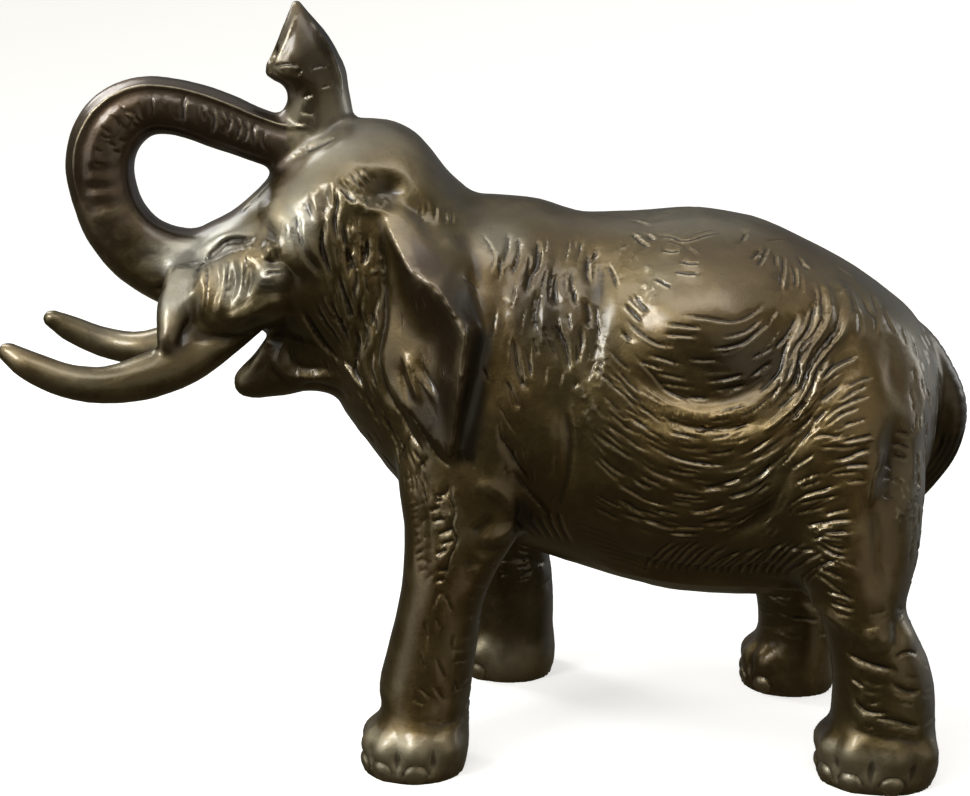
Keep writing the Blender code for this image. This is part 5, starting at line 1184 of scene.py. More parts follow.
def flank(c, side):
    for places in FLANK_CUTS:
        cut(c, "body", side, places, 1.15)
    for places in HIP:
        cut(c, "body", side, [(x - 0.5, z + 0.3) for x, z in places[1:]], 1.0)
        cut(c, "body", side, [(x + 1.9, z - 1.1) for x, z in places[:-2]], 0.8)
    dashes(c, "body", side, FLANK, (2.25, 2.6, 2.85, 3.3, 3.7, 4.35, 4.75, 5.3, 5.7, 6.2, 6.55, 6.85, 7.15, 7.4, 7.7), dash=(5, 13), gap=(2, 7), wander=0.4, seed=11, skip=0.15)
    dashes(c, "body", side, FLANK, (2.0, 3.0, 3.95, 5.0), dash=(7, 14), gap=(3, 8), width=0.42, depth=0.36, seed=12)
    dashes(c, "body", side, FLANK, (1.1, 1.4, 1.7), dash=(4, 10), gap=(3, 9), depth=0.3, seed=14, skip=0.2, span=(0.3, 1))
    for places in UPPER_FLANK:
        cut(c, "body", side, places, 1.5)
    # loose skin gathered at the groin
    rng = np.random.default_rng(18 + (side == 1))
    for k in range(20):
        x = 48 + 2.3 * k + rng.uniform(-0.5, 0.5)
        high = 3.4 + 1.8 * math.sin(0.55 * k + 0.4) + rng.uniform(-1, 1)
        c.stroke("body", side, ((x + 9.5, 66.6 + high), (x + 4.6, 64 + 0.7 * high), (x + 1.3, 61 + 0.3 * high), (x + 0.2, 58.6), (x + 1.2, 56)),
                 0.42, -0.42, burr=0.2, ends=0.3)
    for k in range(6):
        z = 70.5 - 2.3 * k
        c.stroke("body", side, ((25.5 + 2 * k, z + 3.4), (33 + 2 * k, z + 1), (42 + 2 * k, z - 2.2)), 0.55, -0.26, burr=0.1)
    # rasped band under the swelling
    for k in range(44):
        x = 47 + 0.74 * k + rng.uniform(-0.2, 0.2)
        z = 105.6 + 0.0135 * (x - 63) ** 2
        c.stroke("body", side, ((x, z + rng.uniform(1.2, 2.2)), (x + 0.3, z - 0.2), (x, z - rng.uniform(1.4, 2.4))), 0.3, -0.2, burr=0.06, ends=0.4)
    dashes(c, "body", side, (((40, 112.4), (47, 108.2), (54, 105.6), (62, 104.2), (70, 104.9), (77, 107.4)), ((36, 106.6), (44, 101.6), (52, 98.8), (60, 97.3), (67, 97), (74.4, 98.3))),
           (0.0, 0.3, 0.75, 1.0), dash=(3, 9), gap=(2, 7), seed=19, wander=0.3, depth=0.3)
    punched(c, "body", side, (41.4, 146), (3.4, 6), 36, 0.75, 0.15, seed=16)
    punched(c, "body", side, (46.6, 138.6), (3.4, 5), 34, 0.75, 0.16, seed=17)
    punched(c, "body", side, (34.6, 119), (2.6, 8), 40, 0.7, 0.2, seed=18)
    punched(c, "body", side, (64, 104.8), (16, 1.4), 40, 0.6, 0.12, seed=20)


def shoulder(c, side):
    for k, places in enumerate(SHOULDER):
        cut(c, "body", side, places, 0.7)
    guides = (
        ((-1, 152), (2.5, 142), (3, 132), (2, 122)), ((13.5, 153), (13.8, 141), (12.4, 130), (11, 119), (12.5, 108)),
        ((20.5, 152), (20, 142), (19, 133), (21, 122), (20.5, 112)), ((27.5, 151), (26, 142), (26.4, 131), (27.5, 120), (26, 112)),
        ((36, 150), (34, 141), (34.6, 130), (35, 121), (32, 111)),
    )
    dashes(c, "body", side, guides, (0.4, 0.8, 1.2, 1.5, 1.85, 2.2, 2.5, 2.8, 3.15, 3.5, 3.8), dash=(4, 11), gap=(2.5, 8), wander=0.5, depth=0.32, seed=21, skip=0.25)
    low = (
        ((2, 118), (6, 108), (8, 98), (10, 88)), ((12, 112), (16.5, 101), (18, 92), (17.5, 82)), ((21, 108), (24.4, 98), (23.6, 86), (21.6, 76)),
    )
    dashes(c, "body", side, low, np.arange(0, 2.01, 0.3), dash=(4, 10), gap=(3, 9), wander=0.5, depth=0.26, seed=22, skip=0.3)
    punched(c, "body", side, (10, 134.9), (3.4, 5), 16, 1.1, 0.14, seed=23)
    punched(c, "body", side, (19, 128), (4, 8), 18, 0.9, 0.12, seed=24)
    punched(c, "body", side, (30.6, 107), (3.4, 7), 26, 1.0, 0.18, seed=25)
    # gathered skin in the armpit
    for k in range(5):
        x = 12 + 2.6 * k
        c.stroke("body", side, ((x, 75 + 0.8 * k), (x + 1.8, 71), (x + 5, 65.5 - 0.5 * k)), 0.7, -0.4, burr=0.2)
    hatch(c, "body", side, (-14, 96), (2, 90), 10, 8, -18, seed=26, depth=0.22, bend=0.15)
    hatch(c, "body", side, (-18, 84), (-14, 60), 12, 5, 60, seed=27, depth=0.2)


def haunch(c, side):
    for places, strong in HAUNCH_CUTS:
        cut(c, "body", side, places, strong)
    dashes(c, "body", side, HAUNCH, np.arange(0.3, 15.01, 0.8), dash=(5, 12), gap=(2, 8), wander=0.3, seed=31, skip=0.25, depth=0.34, lip=0.14)
    v = (((105.4, 137.2), (106.5, 132.7), (108.9, 128.6), (107.2, 124.5)), ((107.8, 137.3), (109.3, 132.5), (109.4, 127.8)),
         ((110.6, 133.5), (112.1, 129.2), (114.2, 125)), ((103, 134), (104, 129.5), (103.4, 125)), ((101, 139), (102.6, 134.4), (102, 130)))
    for places in v:
        c.stroke("body", side, places, 0.8, -0.3, burr=0.15)
    guides = (((112, 131), (115, 122), (116, 112), (114.5, 102)), ((119.2, 129), (121, 121), (122, 111), (121, 100)),
              ((124, 124), (126, 115), (126.6, 106), (125, 96)))
    dashes(c, "body", side, guides, np.arange(0.2, 2, 0.3), dash=(3, 8), gap=(2, 6), wander=0.4, width=0.36, depth=0.24, seed=32, skip=0.2)
    for places in (((113.1, 101.4), (116, 100.2), (119.1, 99.6)), ((111.8, 97.6), (114.6, 97.4), (117.8, 95.7)), ((113, 94.4), (117.4, 93.2)), ((110.6, 92.6), (113.4, 90.4)), ((109.4, 88.9), (112, 88.8), (116.1, 86.8)),
                   ((110, 84.4), (114.6, 83)), ((110.3, 96.4), (107.6, 91.2), (106.6, 86.4), (106.1, 79.8)), ((119.9, 105.3), (119.4, 102.5), (119, 99.5)), ((123.5, 111.8), (124.3, 108.1))):
        cut(c, "body", side, places, 0.7)
    hatch(c, "body", side, (120.4, 92), (119.6, 66), 14, 5, 24, seed=33, depth=0.28)
    punched(c, "body", side, (117, 84), (4.5, 8), 40, 0.9, 0.18, seed=34)
    punched(c, "body", side, (98, 137.5), (4, 3), 14, 0.6, -0.12, seed=35)
    dashes(c, "body", side, (((88, 96), (84, 88), (81, 79), (76, 72.5)), ((92, 92), (88.6, 84), (85, 76), (81, 70))), (0.1, 0.5, 0.9),
           dash=(3, 7), gap=(2, 5), depth=0.3, seed=36)


def legs(c, side):
    hind = HIND_LEFT if side == -1 else HIND_RIGHT
    fore = FRONT_LEFT if side == -1 else FRONT_RIGHT
    ring_cuts(c, side, hind, np.arange(22, 56, 3.3), arc=(170, 345), dash=(20, 60), width=0.42, depth=0.32, seed=41, sag=1.6)
    ring_cuts(c, side, hind, (21, 26.5, 31, 35, 50, 53), arc=(50, 170), dash=(14, 34), width=0.4, depth=0.22, seed=40, sag=1.6)
    ring_cuts(c, side, fore, (14.6, 16.2, 18, 19.6) if side == -1 else (16.2,), arc=(150, 345) if side == -1 else (20, 160), dash=(40, 90), width=0.5, depth=0.3, seed=42, sag=0.6)
    ring_cuts(c, side, fore, np.arange(24 if side == -1 else 36, 62, 4.6), arc=(120, 330), dash=(18, 45), width=0.4, depth=0.24, seed=43, sag=1.8)
    ring_cuts(c, side, hind, np.arange(60, 84, 4.2), arc=(150, 300), dash=(15, 40), width=0.4, depth=0.26, seed=44, sag=2.0, reach=5)
    ring_cuts(c, side, fore, np.arange(66, 92, 4.4), arc=(190, 330), dash=(15, 40), width=0.4, depth=0.24, seed=45, sag=2.0, reach=5)
    knee = -10 if side == -1 else 5
    hatch(c, "body", side, (knee - 3, 82), (knee - 2, 58), 7, 5, 52, seed=46, depth=0.2)
    for places in LEG_FRONT:
        cut(c, "body", side, [(knee + x - 0.2, z + 0.3) for x, z in places], 0.85)
    c.stroke("body", side, [(knee + x, z) for x, z in ((4.6, 85.4), (4.4, 81), (5.6, 77.4), (4.8, 73), (6.2, 69.4), (4.4, 65), (3.4, 61), (2.6, 57))], 0.45, -0.45, burr=0.16, ends=0.15)
    for places in LEG_MARKS:
        cut(c, "body", side, [(knee + x, z) for x, z in places], 0.65)
    if side == 1:
        ring_cuts(c, 1, FRONT_RIGHT, np.arange(37, 58, 2.2), arc=(225, 300), dash=(14, 30), width=0.45, depth=0.4, seed=49, sag=2.6)
    knee = 110 if side == -1 else 96
    for places in (((-8.3, 40.6), (-2.5, 38.5), (6.4, 36.6)), ((4.2, 33.4), (8.4, 31), (13.5, 30.1)), ((-5.2, 27.8), (-1.8, 24.6), (5, 24.8)),
                   ((-0.5, 23), (5.6, 22.7), (13.7, 20)), ((4.4, 39.9), (8.1, 41.4), (12.5, 40)), ((-6, 33), (-2.4, 31.2))):
        cut(c, "body", side, [(knee + x, z) for x, z in places], 1.1)
    knee = -10 if side == -1 else 5
    punched(c, "body", side, (knee + 3, 70), (3.4, 14), 36, 0.8, 0.14, seed=48)


def toes(c):
    for side, front, back, middle, half in feet():
        long, centre = (back - front) / 2, (front + back) / 2
        for lean in TOES:
            a = math.radians(lean)
            out = np.array((-math.cos(a) * long, side * math.sin(a) * half))
            way = out / np.linalg.norm(out)
            across = np.array((-way[1], way[0]))
            x, y = centre + out[0], middle + out[1]
            # the nail: an oval with a sharp upper edge
            rim = [(x + across[0] * s * 3.6, y + across[1] * s * 3.6, z) for s, z in
                   ((-1.05, 1.2), (-0.98, 3.4), (-0.6, 5.2), (0, 5.8), (0.6, 5.2), (0.98, 3.4), (1.05, 1.2))]
            c.stroke("body", side, rim, 0.55, -0.45, ends=0.15, reach=3.4)
            c.mound("body", side, (x + way[0] * 0.6, y + way[1] * 0.6, 3.2), (4.2, 4.2, 3.4), 0.8, power=1.5)


def head_chasing(c, side):
    for k, places in enumerate(CHEEK):
        c.stroke("head", side, places, 0.5, -(0.4, 0, 0.4, 0, 0.3, 0.2)[k], ends=0.35)
    c.stroke("head", side, LIP, 0.5, -0.6, ends=0.3)
    dashes(c, "head", side, CHEEK, (0.5, 2.5), dash=(4, 9), gap=(4, 10), depth=0.14, lip=0.04, seed=51)
    c.stroke("head", side, ((-63.7, 140.9), (-60.1, 142), (-56.1, 141.8)), 0.5, -0.5, lip=0.15, ends=0.3)
    for z in (139.6, 137.9):
        c.stroke("head", side, ((-64, z), (-61.6, z - 0.5), (-58.6, z - 0.2)), 0.42, -0.22, ends=0.35)
    c.stroke("head", side, ((-62.8, 145.6), (-60.6, 144.4), (-58.2, 145.2)), 0.5, -0.35)
    for places, deep in VEILS:
        c.stroke("head", side, places, 0.5, -0.6 * deep, burr=0.25, ends=0.35)
    for places in BROW:
        cut(c, "head", side, places, 0.9)
    for places in TUFT:
        c.stroke("head", side, places, 0.5, -0.28, burr=0.1, ends=0.4)
    for places in NECK:
        cut(c, "head", side, places, 0.6)
    guides = (((-48, 158), (-47.6, 148), (-46.4, 138), (-44.4, 128)), ((-43, 160), (-42.6, 148), (-41.6, 136), (-39.6, 124)),
              ((-37, 158), (-36.4, 146), (-35.4, 134), (-34, 122)), ((-33, 154), (-32.6, 144), (-31.6, 134), (-31.6, 124)))
    dashes(c, "head", side, guides, np.arange(0.2, 3, 0.36), dash=(4, 10), gap=(2, 5), wander=0.45, width=0.4, depth=0.34, seed=52)
    jaw_guides = (((-58.5, 126), (-59, 118), (-62, 110)), ((-53, 124), (-52, 115), (-50, 107)), ((-46, 122), (-44, 113), (-40, 105)),
                  ((-40, 120), (-37, 110), (-32, 100)), ((-35, 118), (-32, 106), (-27, 95)))
    dashes(c, "head", side, jaw_guides, np.arange(0.15, 4, 0.4), dash=(4, 9), gap=(3, 7), wander=0.4, depth=0.28, seed=53)
    punched(c, "head", side, (-66.2, 147.6), (2, 3.6), 22, 0.75, 0.26, seed=54)
    punched(c, "head", side, (-33.3, 143), (4, 6), 44, 0.7, 0.2, seed=55)
    punched(c, "head", side, (-38.7, 149), (3.4, 6), 30, 0.8, 0.26, seed=56)
    punched(c, "head", side, (-33, 160), (6, 1.8), 22, 0.8, 0.26, seed=57)
    punched(c, "head", side, (-76, 137), (5, 8), 20, 0.8, 0.1, seed=58)
    # ear: fine lines along its folds
    ear_guides = (((-27.6, 140), (-27, 130), (-27.6, 121), (-26, 110), (-20, 101)), ((-23, 140), (-21.6, 129), (-21, 119), (-18, 109), (-13, 99)),
                  ((-18, 138), (-15, 128), (-14, 118), (-12.5, 108), (-10.5, 98)), ((-12, 134), (-9, 125), (-8.5, 115), (-9.4, 104), (-10, 97)))
    dashes(c, "head", side, ear_guides, np.arange(0.2, 2.4, 0.44), dash=(4, 9), gap=(5, 12), wander=0.4, depth=0.16, seed=61, skip=0.35)
    # neck below the ear
    neck = (((-29, 105.7), (-25, 99.3), (-21.4, 93.1), (-20, 84)), ((-22, 98), (-18.5, 91), (-15.5, 84), (-14, 76)), ((-15, 93), (-11, 86), (-8, 79), (-6, 73)))
    dashes(c, "body", side, neck, np.arange(0, 2, 0.3), dash=(4, 10), gap=(2, 5), wander=0.4, width=0.42, depth=0.26, lip=0.08, seed=62)
    # tusk: faint lengthwise lines
    hatch(c, "head", side, (-88, 116), (-112, 112), 6, 7, 80, seed=63, depth=0.08, width=0.4)


def trunk_lines(c, side):
    for places, deep in RIBS:
        c.stroke("head", side, places, 0.5, -0.75 * deep, lip=0.3 * deep, ends=0.3)
    for places in SCRATCHES:
        c.stroke("head", side, places, 0.36, -0.28, lip=0.1, ends=0.35)
    for places in (((-60.1, 196.3), (-57.8, 197), (-55.5, 197.3), (-51.9, 196.5)), ((-53.4, 194.3), (-51.4, 195.7)), ((-51.6, 188.3), (-48.5, 189.1)),
                   ((-52.3, 184.5), (-48.1, 183.4)), ((-49.7, 195.9), (-46.4, 196.8), (-43.1, 197.1)), ((-46.8, 190.8), (-42.6, 192.1)),
                   ((-53.4, 181.4), (-49.6, 180.4))):
        cut(c, "head", side, places, 0.7)
    c.stroke("head", side, ((-52.4, 211.6), (-54.2, 207.8), (-56.1, 203.7), (-58, 199.6), (-59.3, 196.6)), 0.5, 0.35, ends=0.15)
    c.stroke("head", side, ((-49.5, 210.2), (-47.1, 207.4), (-44.9, 204.2), (-43.2, 200.9), (-42.1, 198.2), (-40.7, 193.8), (-40, 189.4)), 0.7, 0.4, ends=0.15)
    dashes(c, "head", side, (((-106, 188), (-98, 190), (-88, 190.4), (-76, 187.4), (-66, 183.8)), ((-101, 180), (-95, 182), (-86, 181.6), (-76, 178), (-66, 173.6))),
           (0.25, 0.55, 0.8), dash=(2, 6), gap=(6, 16), wander=0.8, depth=0.1, seed=72, skip=0.3, tilt=0.3)


def trunk_edges(chisel):
    """The edge along each shoulder of the trunk."""
    some = chisel.within("head", np.array((-125, -14, 120)), np.array((-50, 14, 200)))
    station, turn, radii = trunk_frame(chisel.at["head"][some])
    on = (radii < 1.6) & (station > 10) & (station < 146)
    some, station, across = some[on], station[on], np.abs(np.degrees(turn[on]))
    fade = ease((station - 40) / 26) * ease((142 - station) / 10)
    chisel.lift[some] += fade * (0.2 * np.exp(-((across - 50) / 3.2) ** 2) - 0.14 * np.exp(-((across - 57) / 4) ** 2))


def back_and_rear(c):
    """What the side views don't reach: the spine, the rump, the tail, the brow and the chest."""
    # brow and crown: nearly smooth, with a few creases beside the trunk's root
    for side in (-1, 1):
        c.stroke("head", "top", ((-52, side * 9), (-47, side * 11.5), (-42, side * 12.5)), 0.9, -0.5, lip=0.2)
        c.stroke("head", "top", ((-58, side * 10), (-63, side * 9.4), (-70, side * 8.6)), 0.8, -0.45, lip=0.15)
        # knobbly seam where the trunk lies on the forehead
        for k in range(9):
            t = k / 8
            c.mound("head", side, (-56 + 16 * t, side * (6.8 + 1.2 * math.sin(5 * t)), 170.6 + 9.8 * t), (1.5, 1.5, 1.3), 0.3 + 0.2 * math.sin(7 * k))
        spine = (((20, side * 4), (50, side * 4.5), (84, side * 5), (106, side * 5)), ((22, side * 14), (50, side * 16), (84, side * 17), (106, side * 14)),
                 ((24, side * 24), (50, side * 27), (84, side * 28), (104, side * 24)))
        dashes(c, "body", "top", spine, (0.15, 0.6, 1.1, 1.5, 1.9), dash=(3, 8), gap=(8, 22), wander=0.9, width=0.5, depth=0.22,
               seed=81 + side, skip=0.3, tilt=0.25)
        rear = (((side * 3, 128), (side * 3.6, 110), (side * 4.6, 96)), ((side * 12, 126), (side * 14, 108), (side * 15, 88), (side * 16, 70)),
                ((side * 24, 122), (side * 27, 104), (side * 28, 84), (side * 28, 62)), ((side * 34, 112), (side * 37, 96), (side * 37, 78), (side * 37, 60)))
        dashes(c, "body", "back", rear, np.arange(0.4, 3, 0.4), dash=(3, 8), gap=(2, 6), wander=0.5, width=0.5, depth=0.32, seed=85 + side, skip=0.2)
        chest = (((side * 2, 96), (side * 3, 86), (side * 3, 76)), ((side * 12, 98), (side * 14, 86), (side * 14, 74)), ((side * 24, 100), (side * 26, 88), (side * 26, 76)))
        dashes(c, "body", "front", chest, np.arange(0.2, 2, 0.35), dash=(3, 8), gap=(2, 6), wander=0.5, width=0.5, depth=0.32, seed=91 + side, skip=0.2)
    # tail: wrinkled root, hair combed down from the bend
    rows = path_spline([(x, y, z, r) for x, y, z, r in TAIL], 60)
    for k in range(9):
        x, y, z, r = rows[10 + 3 * k]
        a = np.radians(np.linspace(-100, 100, 9))
        line = np.stack([x + np.cos(a) * r, y + np.sin(a) * r, z + 0.5 * np.sin(3 * a + k)], axis=1)
        c.stroke("body", 1, line, 0.5, -0.16, ends=0.35, reach=3)
    for k in range(11):
        a = math.radians(-110 + 22 * k)
        line = [(x + math.cos(a) * r * 0.95, y + math.sin(a) * r * 0.95, z) for x, y, z, r in rows[34:58:4]]
        c.stroke("body", 1, line, 0.6, -0.5, ends=0.2, reach=3)


# ------------------------------------------------------------------ the skin
VOXEL = 0.95
TRIANGLES = 198000


def put(mesh, name, values):
    """Keeps a value for each point in the mesh."""
    made = mesh.attributes.new(name, "FLOAT", "POINT")
    made.data.foreach_set("value", np.asarray(values, np.float32))


def near(points, centre, size):
    """1 at the centre of an oval, 0 beyond it."""
    far = (((points - np.asarray(centre, float)) / np.asarray(size, float)) ** 2).sum(axis=1)
    return np.clip(1 - far, 0, 1) ** 1.5


def tones(points, head):
    """Where the patina turns silver, purple-brown, amber or dull (lighter and rougher), and where highlight, light and
    shade are painted in, from 0 to 1.
    """
    y = np.abs(points[:, 1])
    both = np.stack([points[:, 0], y, points[:, 2]], axis=1)
    head_both = np.stack([head[:, 0], np.abs(head[:, 1]), head[:, 2]], axis=1)
    station, turn, radii = trunk_frame(head)
    on_trunk = (radii < 1.7) & (head[:, 0] < -56) & (head[:, 2] > 126)
    # silver-grey patina, and painted highlight: the nose, cheek, eye pad, dome, back and the rump's edge are made
    # lighter where they catch the light
    silver_and_painted_highlight = (
        0.8 * near(head_both, (-85, 12, 145), (16, 17, 12)) + 0.7 * near(head_both, (-89, 21, 134), (9, 13, 9)) + 0.5 * near(head_both, (-74, 12, 151), (13, 14, 8))
        + 0.45 * near(head_both, (-38, 8, 178), (24, 26, 15)) + 0.28 * near(head_both, (-52, 20, 158), (12, 12, 16))
        + 0.5 * near(head_both, (-60, 28, 140), (6, 9, 6)) + 0.7 * near(head_both, (-53, 25, 153), (6, 10, 9)) + 0.35 * near(head_both, (-71, 25, 139), (8, 10, 9))
        + 0.28 * near(head_both, (-118, 30, 114), (18, 10, 8)) + 0.25 * near(head_both, (-40.6, 4, 196), (4, 12, 22))
        + 0.1 * near(both, (62, 38, 141), (26, 22, 20)) + 0.4 * near(both, (60, 12, 157), (50, 26, 9)) + 0.4 * near(both, (6, 26, 151), (11, 13, 9))
        + 0.22 * near(both, (122, 24, 116), (14, 20, 24)) + 0.3 * near(both, (121, 36, 88), (8, 16, 24))
    )
    dull = 1.3 * near(both, (-18, 44, 10), (20, 18, 12)) + 1.3 * near(both, (108, 40, 11), (24, 20, 13)) + 1.0 * near(points, (5, 25, 12), (16, 14, 14))
    dull = dull * ease((15 - points[:, 2]) / 4)
    silver_and_painted_highlight = silver_and_painted_highlight + 0.3 * dull
    # purple-brown patina on the trunk, the ear and the lobe over the tusk, and painted shade: the shoulder and the
    # trunk's end are darkened where they lie in shade
    purple_and_painted_shade = np.where(on_trunk, ease((station - 26) / 14) * ease((150 - station) / 8), 0.0)
    purple_and_painted_shade = purple_and_painted_shade + 0.8 * near(head_both, (-8, 44, 120), (12, 14, 34)) + 0.6 * near(head_both, (-22, 34, 150), (10, 12, 14))
    purple_and_painted_shade = purple_and_painted_shade + 0.4 * near(both, (18, 34, 150), (16, 14, 16)) + 0.9 * near(head_both, (-52, 0, 198), (10, 14, 20))
    purple_and_painted_shade = purple_and_painted_shade + 0.9 * near(head_both, (-18, 40, 138), (10, 12, 22)) + 1.3 * near(head_both, (-87.5, 28, 123.6), (7, 12, 6))
    # amber patina, and painted light: the flank's band, the haunch, the cheek, the neck and the tops of the feet are
    # made lighter as if lit
    amber_and_painted_light = (
        0.8 * near(both, (62, 44, 112), (34, 20, 22)) + 0.9 * near(both, (100, 42, 96), (22, 20, 34)) + 0.9 * near(both, (62, 46, 101), (34, 16, 9)) + 0.7 * near(both, (70, 40, 53), (44, 18, 5))
        + 0.7 * near(head_both, (-67, 24, 147), (6, 12, 7)) + 0.6 * near(head_both, (-77, 25, 137), (5, 12, 9)) + 0.8 * near(head_both, (-35, 28, 145), (9, 12, 12))
        + 0.5 * near(both, (112, 44, 12), (22, 20, 14)) + 0.5 * near(both, (-18, 46, 12), (18, 18, 14))
        + 0.5 * near(both, (40, 30, 142), (10, 18, 14)) + 0.5 * near(both, (-21, 32, 88), (12, 14, 14))
    )
    # the ridge of the trunk's root, over the plane beside the nose: the ridge takes purple-brown and a little painted
    # shade, and the silver-grey and painted highlight of the plane stop short of it
    ridge = ease((head[:, 2] - np.interp(head[:, 0], (-92.5, -86, -79.9, -75.6, -70.8, -64.5), (146.9, 147.8, 148.9, 151.5, 154.3, 157.1)) - 0.2) / 1.6)
    ridge = ridge * ease((head[:, 0] + 99) / 5) * ease((-59 - head[:, 0]) / 5) * (radii < 2)
    silver_and_painted_highlight, purple_and_painted_shade = silver_and_painted_highlight * (1 - ridge), purple_and_painted_shade + ridge
    # painted shade, near black: the back of the ear, the folds where the legs meet the body, and places on the
    # shoulder, the valley under the flank's swelling, the rump, the tail, the far legs, the jaw, the brow and the
    # trunk's end that lie in shade
    back = head[:, 0] + 3.6 - (head[:, 2] - 124) * 0.17
    painted_shade = 0.85 * ease(back / 1.2) * ease((9 - back) / 2) * ease((head[:, 2] - 90) / 2) * ease((128 - head[:, 2]) / 3) * ease((head_both[:, 1] - 33) / 3)
    painted_shade = painted_shade + 0.8 * near(both, (18, 37, 134), (18, 16, 24)) + 0.25 * near(both, (-18, 42, 46), (12, 16, 32)) + 0.8 * near(both, (72, 41, 119.5), (30, 18, 13)) + 0.6 * near(both, (35, 38, 130), (6, 20, 22))
    painted_shade = painted_shade + 1.0 * near(both, (136, 0, 104), (12, 11.5, 36)) + 0.6 * near(both, (112.5, 40, 91), (11, 18, 24)) + 0.35 * near(both, (10, 40, 92), (16, 18, 22))
    painted_shade = painted_shade + 0.5 * near(head_both, (-29, 26, 163.6), (8, 14, 6.4)) + 0.85 * near(head_both, (-18, 42, 104), (12, 13, 15)) + 1.3 * near(head_both, (-48, 0, 199), (13, 14, 19))
    painted_shade = painted_shade + 0.5 * near(head_both, (-12, 46, 122), (6, 12, 26)) + 0.7 * near(both, (14, 30, 74), (9, 18, 9)) + 0.6 * near(both, (-10, 44, 104), (12, 9, 22)) * (head[:, 0] > 4)
    painted_shade = painted_shade + 0.8 * near(head_both, (-4, 40, 131), (8, 10, 15)) + 0.4 * near(head_both, (-18, 38, 147), (10, 9, 9)) + 0.3 * near(head_both, (-111, 6, 168), (8, 12, 14))
    painted_shade = painted_shade + 0.6 * near(points, (10, 24, 45), (20, 20, 52)) + 0.45 * near(head_both, (-57, 9, 111), (11, 15, 12)) + 0.35 * near(head_both, (-51, 27, 142), (4.6, 9, 6)) + 0.4 * ridge
    return [np.clip(v, 0, 1) for v in (silver_and_painted_highlight, purple_and_painted_shade, amber_and_painted_light, painted_shade, dull)]


def cast_skin():
    """The joined and chased skin, in millimetres, with what each point of it is."""
    skin = skin_of(joined(masses(), "cast", VOXEL))
    skin.smooth(6)
    skin.fillet(38, 0.008)
    skin.smooth(4)
    chisel = Chisel(skin)
    head_relief(chisel)
    body_relief(chisel)
    trunk_relief(chisel)
    for side in (-1, 1):   # nostrils
        chisel.mound("head", side, (-60.4, side * 2.7, 200.5), (3.4, 2.2, 3.6), -2.6)
    chisel.done()
    skin.marks["hollow"] = skin.depth(46)

    # the cuts are planned on this skin, which is then made finer wherever a cut passes
    chisel.plan = []
    for side in (-1, 1):
        flank(chisel, side)
        shoulder(chisel, side)
        haunch(chisel, side)
        legs(chisel, side)
        head_chasing(chisel, side)
        trunk_lines(chisel, side)
    toes(chisel)
    back_and_rear(chisel)
    plan = chisel.plan
    for cell in (1.5, 0.95):
        head = unturned(skin.p)
        chosen = np.zeros(len(skin.p), bool)
        for name, points in (("body", skin.p), ("head", head)):
            chosen |= close_to(points, np.concatenate([line for _, given, line in plan if given[0] == name]), cell)
        chosen |= (head[:, 0] < -56) & (head[:, 2] > 160) & (np.abs(head[:, 1]) < 11)
        skin = skin.split(chosen)
        skin.smooth(2)
    chisel = Chisel(skin)
    chisel.make(plan)
    trunk_edges(chisel)
    # no cut is deeper than the tool goes, and the casting isn't quite even
    chisel.lift = np.where(chisel.lift < 0, -1.0 * np.tanh(-chisel.lift / 1.0), chisel.lift)
    skin.marks["cut"] = np.clip(-chisel.lift / 0.4, -1, 1)
    where = chisel.at["body"]
    chisel.lift += 0.11 * noise3(where, 6.5, 5) + 0.045 * noise3(where, 2.8, 6)
    head = chisel.at["head"]
    skin.p += chisel.normal * chisel.lift[:, None]
    skin.p[skin.p[:, 2] < 1.0, 2] = 0.0
    skin.marks["fold"] = np.clip(skin.depth(24) / 0.4, -1, 1)
    return skin, head


def thinned(skin, head):
    """The skin with fewer faces, shaded and coloured by the skin it came from."""
    made = mesh_of(skin, "bronze_elephant_skin")
    thin = made.modifiers.new("facets", "DECIMATE")
    thin.ratio = TRIANGLES / len(made.data.polygons)
    made = baked(made)
    data = made.data
    tree = KDTree(len(skin.p))
    for i, p in enumerate(skin.p):
        tree.insert(p, i)
    tree.balance()
    points = np.empty(len(data.vertices) * 3)
    data.vertices.foreach_get("co", points)
    points = points.reshape(-1, 3)
    source = np.empty((len(points), 3), np.int64)
    weight = np.empty((len(points), 3))
    for i, p in enumerate(points):
        for k, (_, index, far) in enumerate(tree.find_n(p, 3)):
            source[i, k], weight[i, k] = index, 1 / (far + 0.03) ** 2
    weight /= weight.sum(axis=1)[:, None]
    for name, values in skin.marks.items():
        put(data, name, (values[source] * weight).sum(axis=1))
    for name, values in zip(("silver_and_painted_highlight", "purple_and_painted_shade", "amber_and_painted_light", "painted_shade", "dull"), tones(points, head[source[:, 0]])):
        put(data, name, values)
    normals = (skin.normals()[source] * weight[..., None]).sum(axis=1)
    normals /= np.linalg.norm(normals, axis=1)[:, None]
    return made, points, normals


def set_in_box(made, points, normals):
    """Millimetres of the casting to metres of the CAD's box."""
    low, high = points.min(axis=0), points.max(axis=0)
    floor, top = (np.array(corner) for corner in CAD_BOX)
    scale = (top - floor) / (high - low)
    made.data.vertices.foreach_set("co", ((points - low) * scale + floor).ravel())
    made.data.polygons.foreach_set("use_smooth", [True] * len(made.data.polygons))
    made.data.update()
    made.data.normals_split_custom_set_from_vertices(normals.tolist())
    return scale


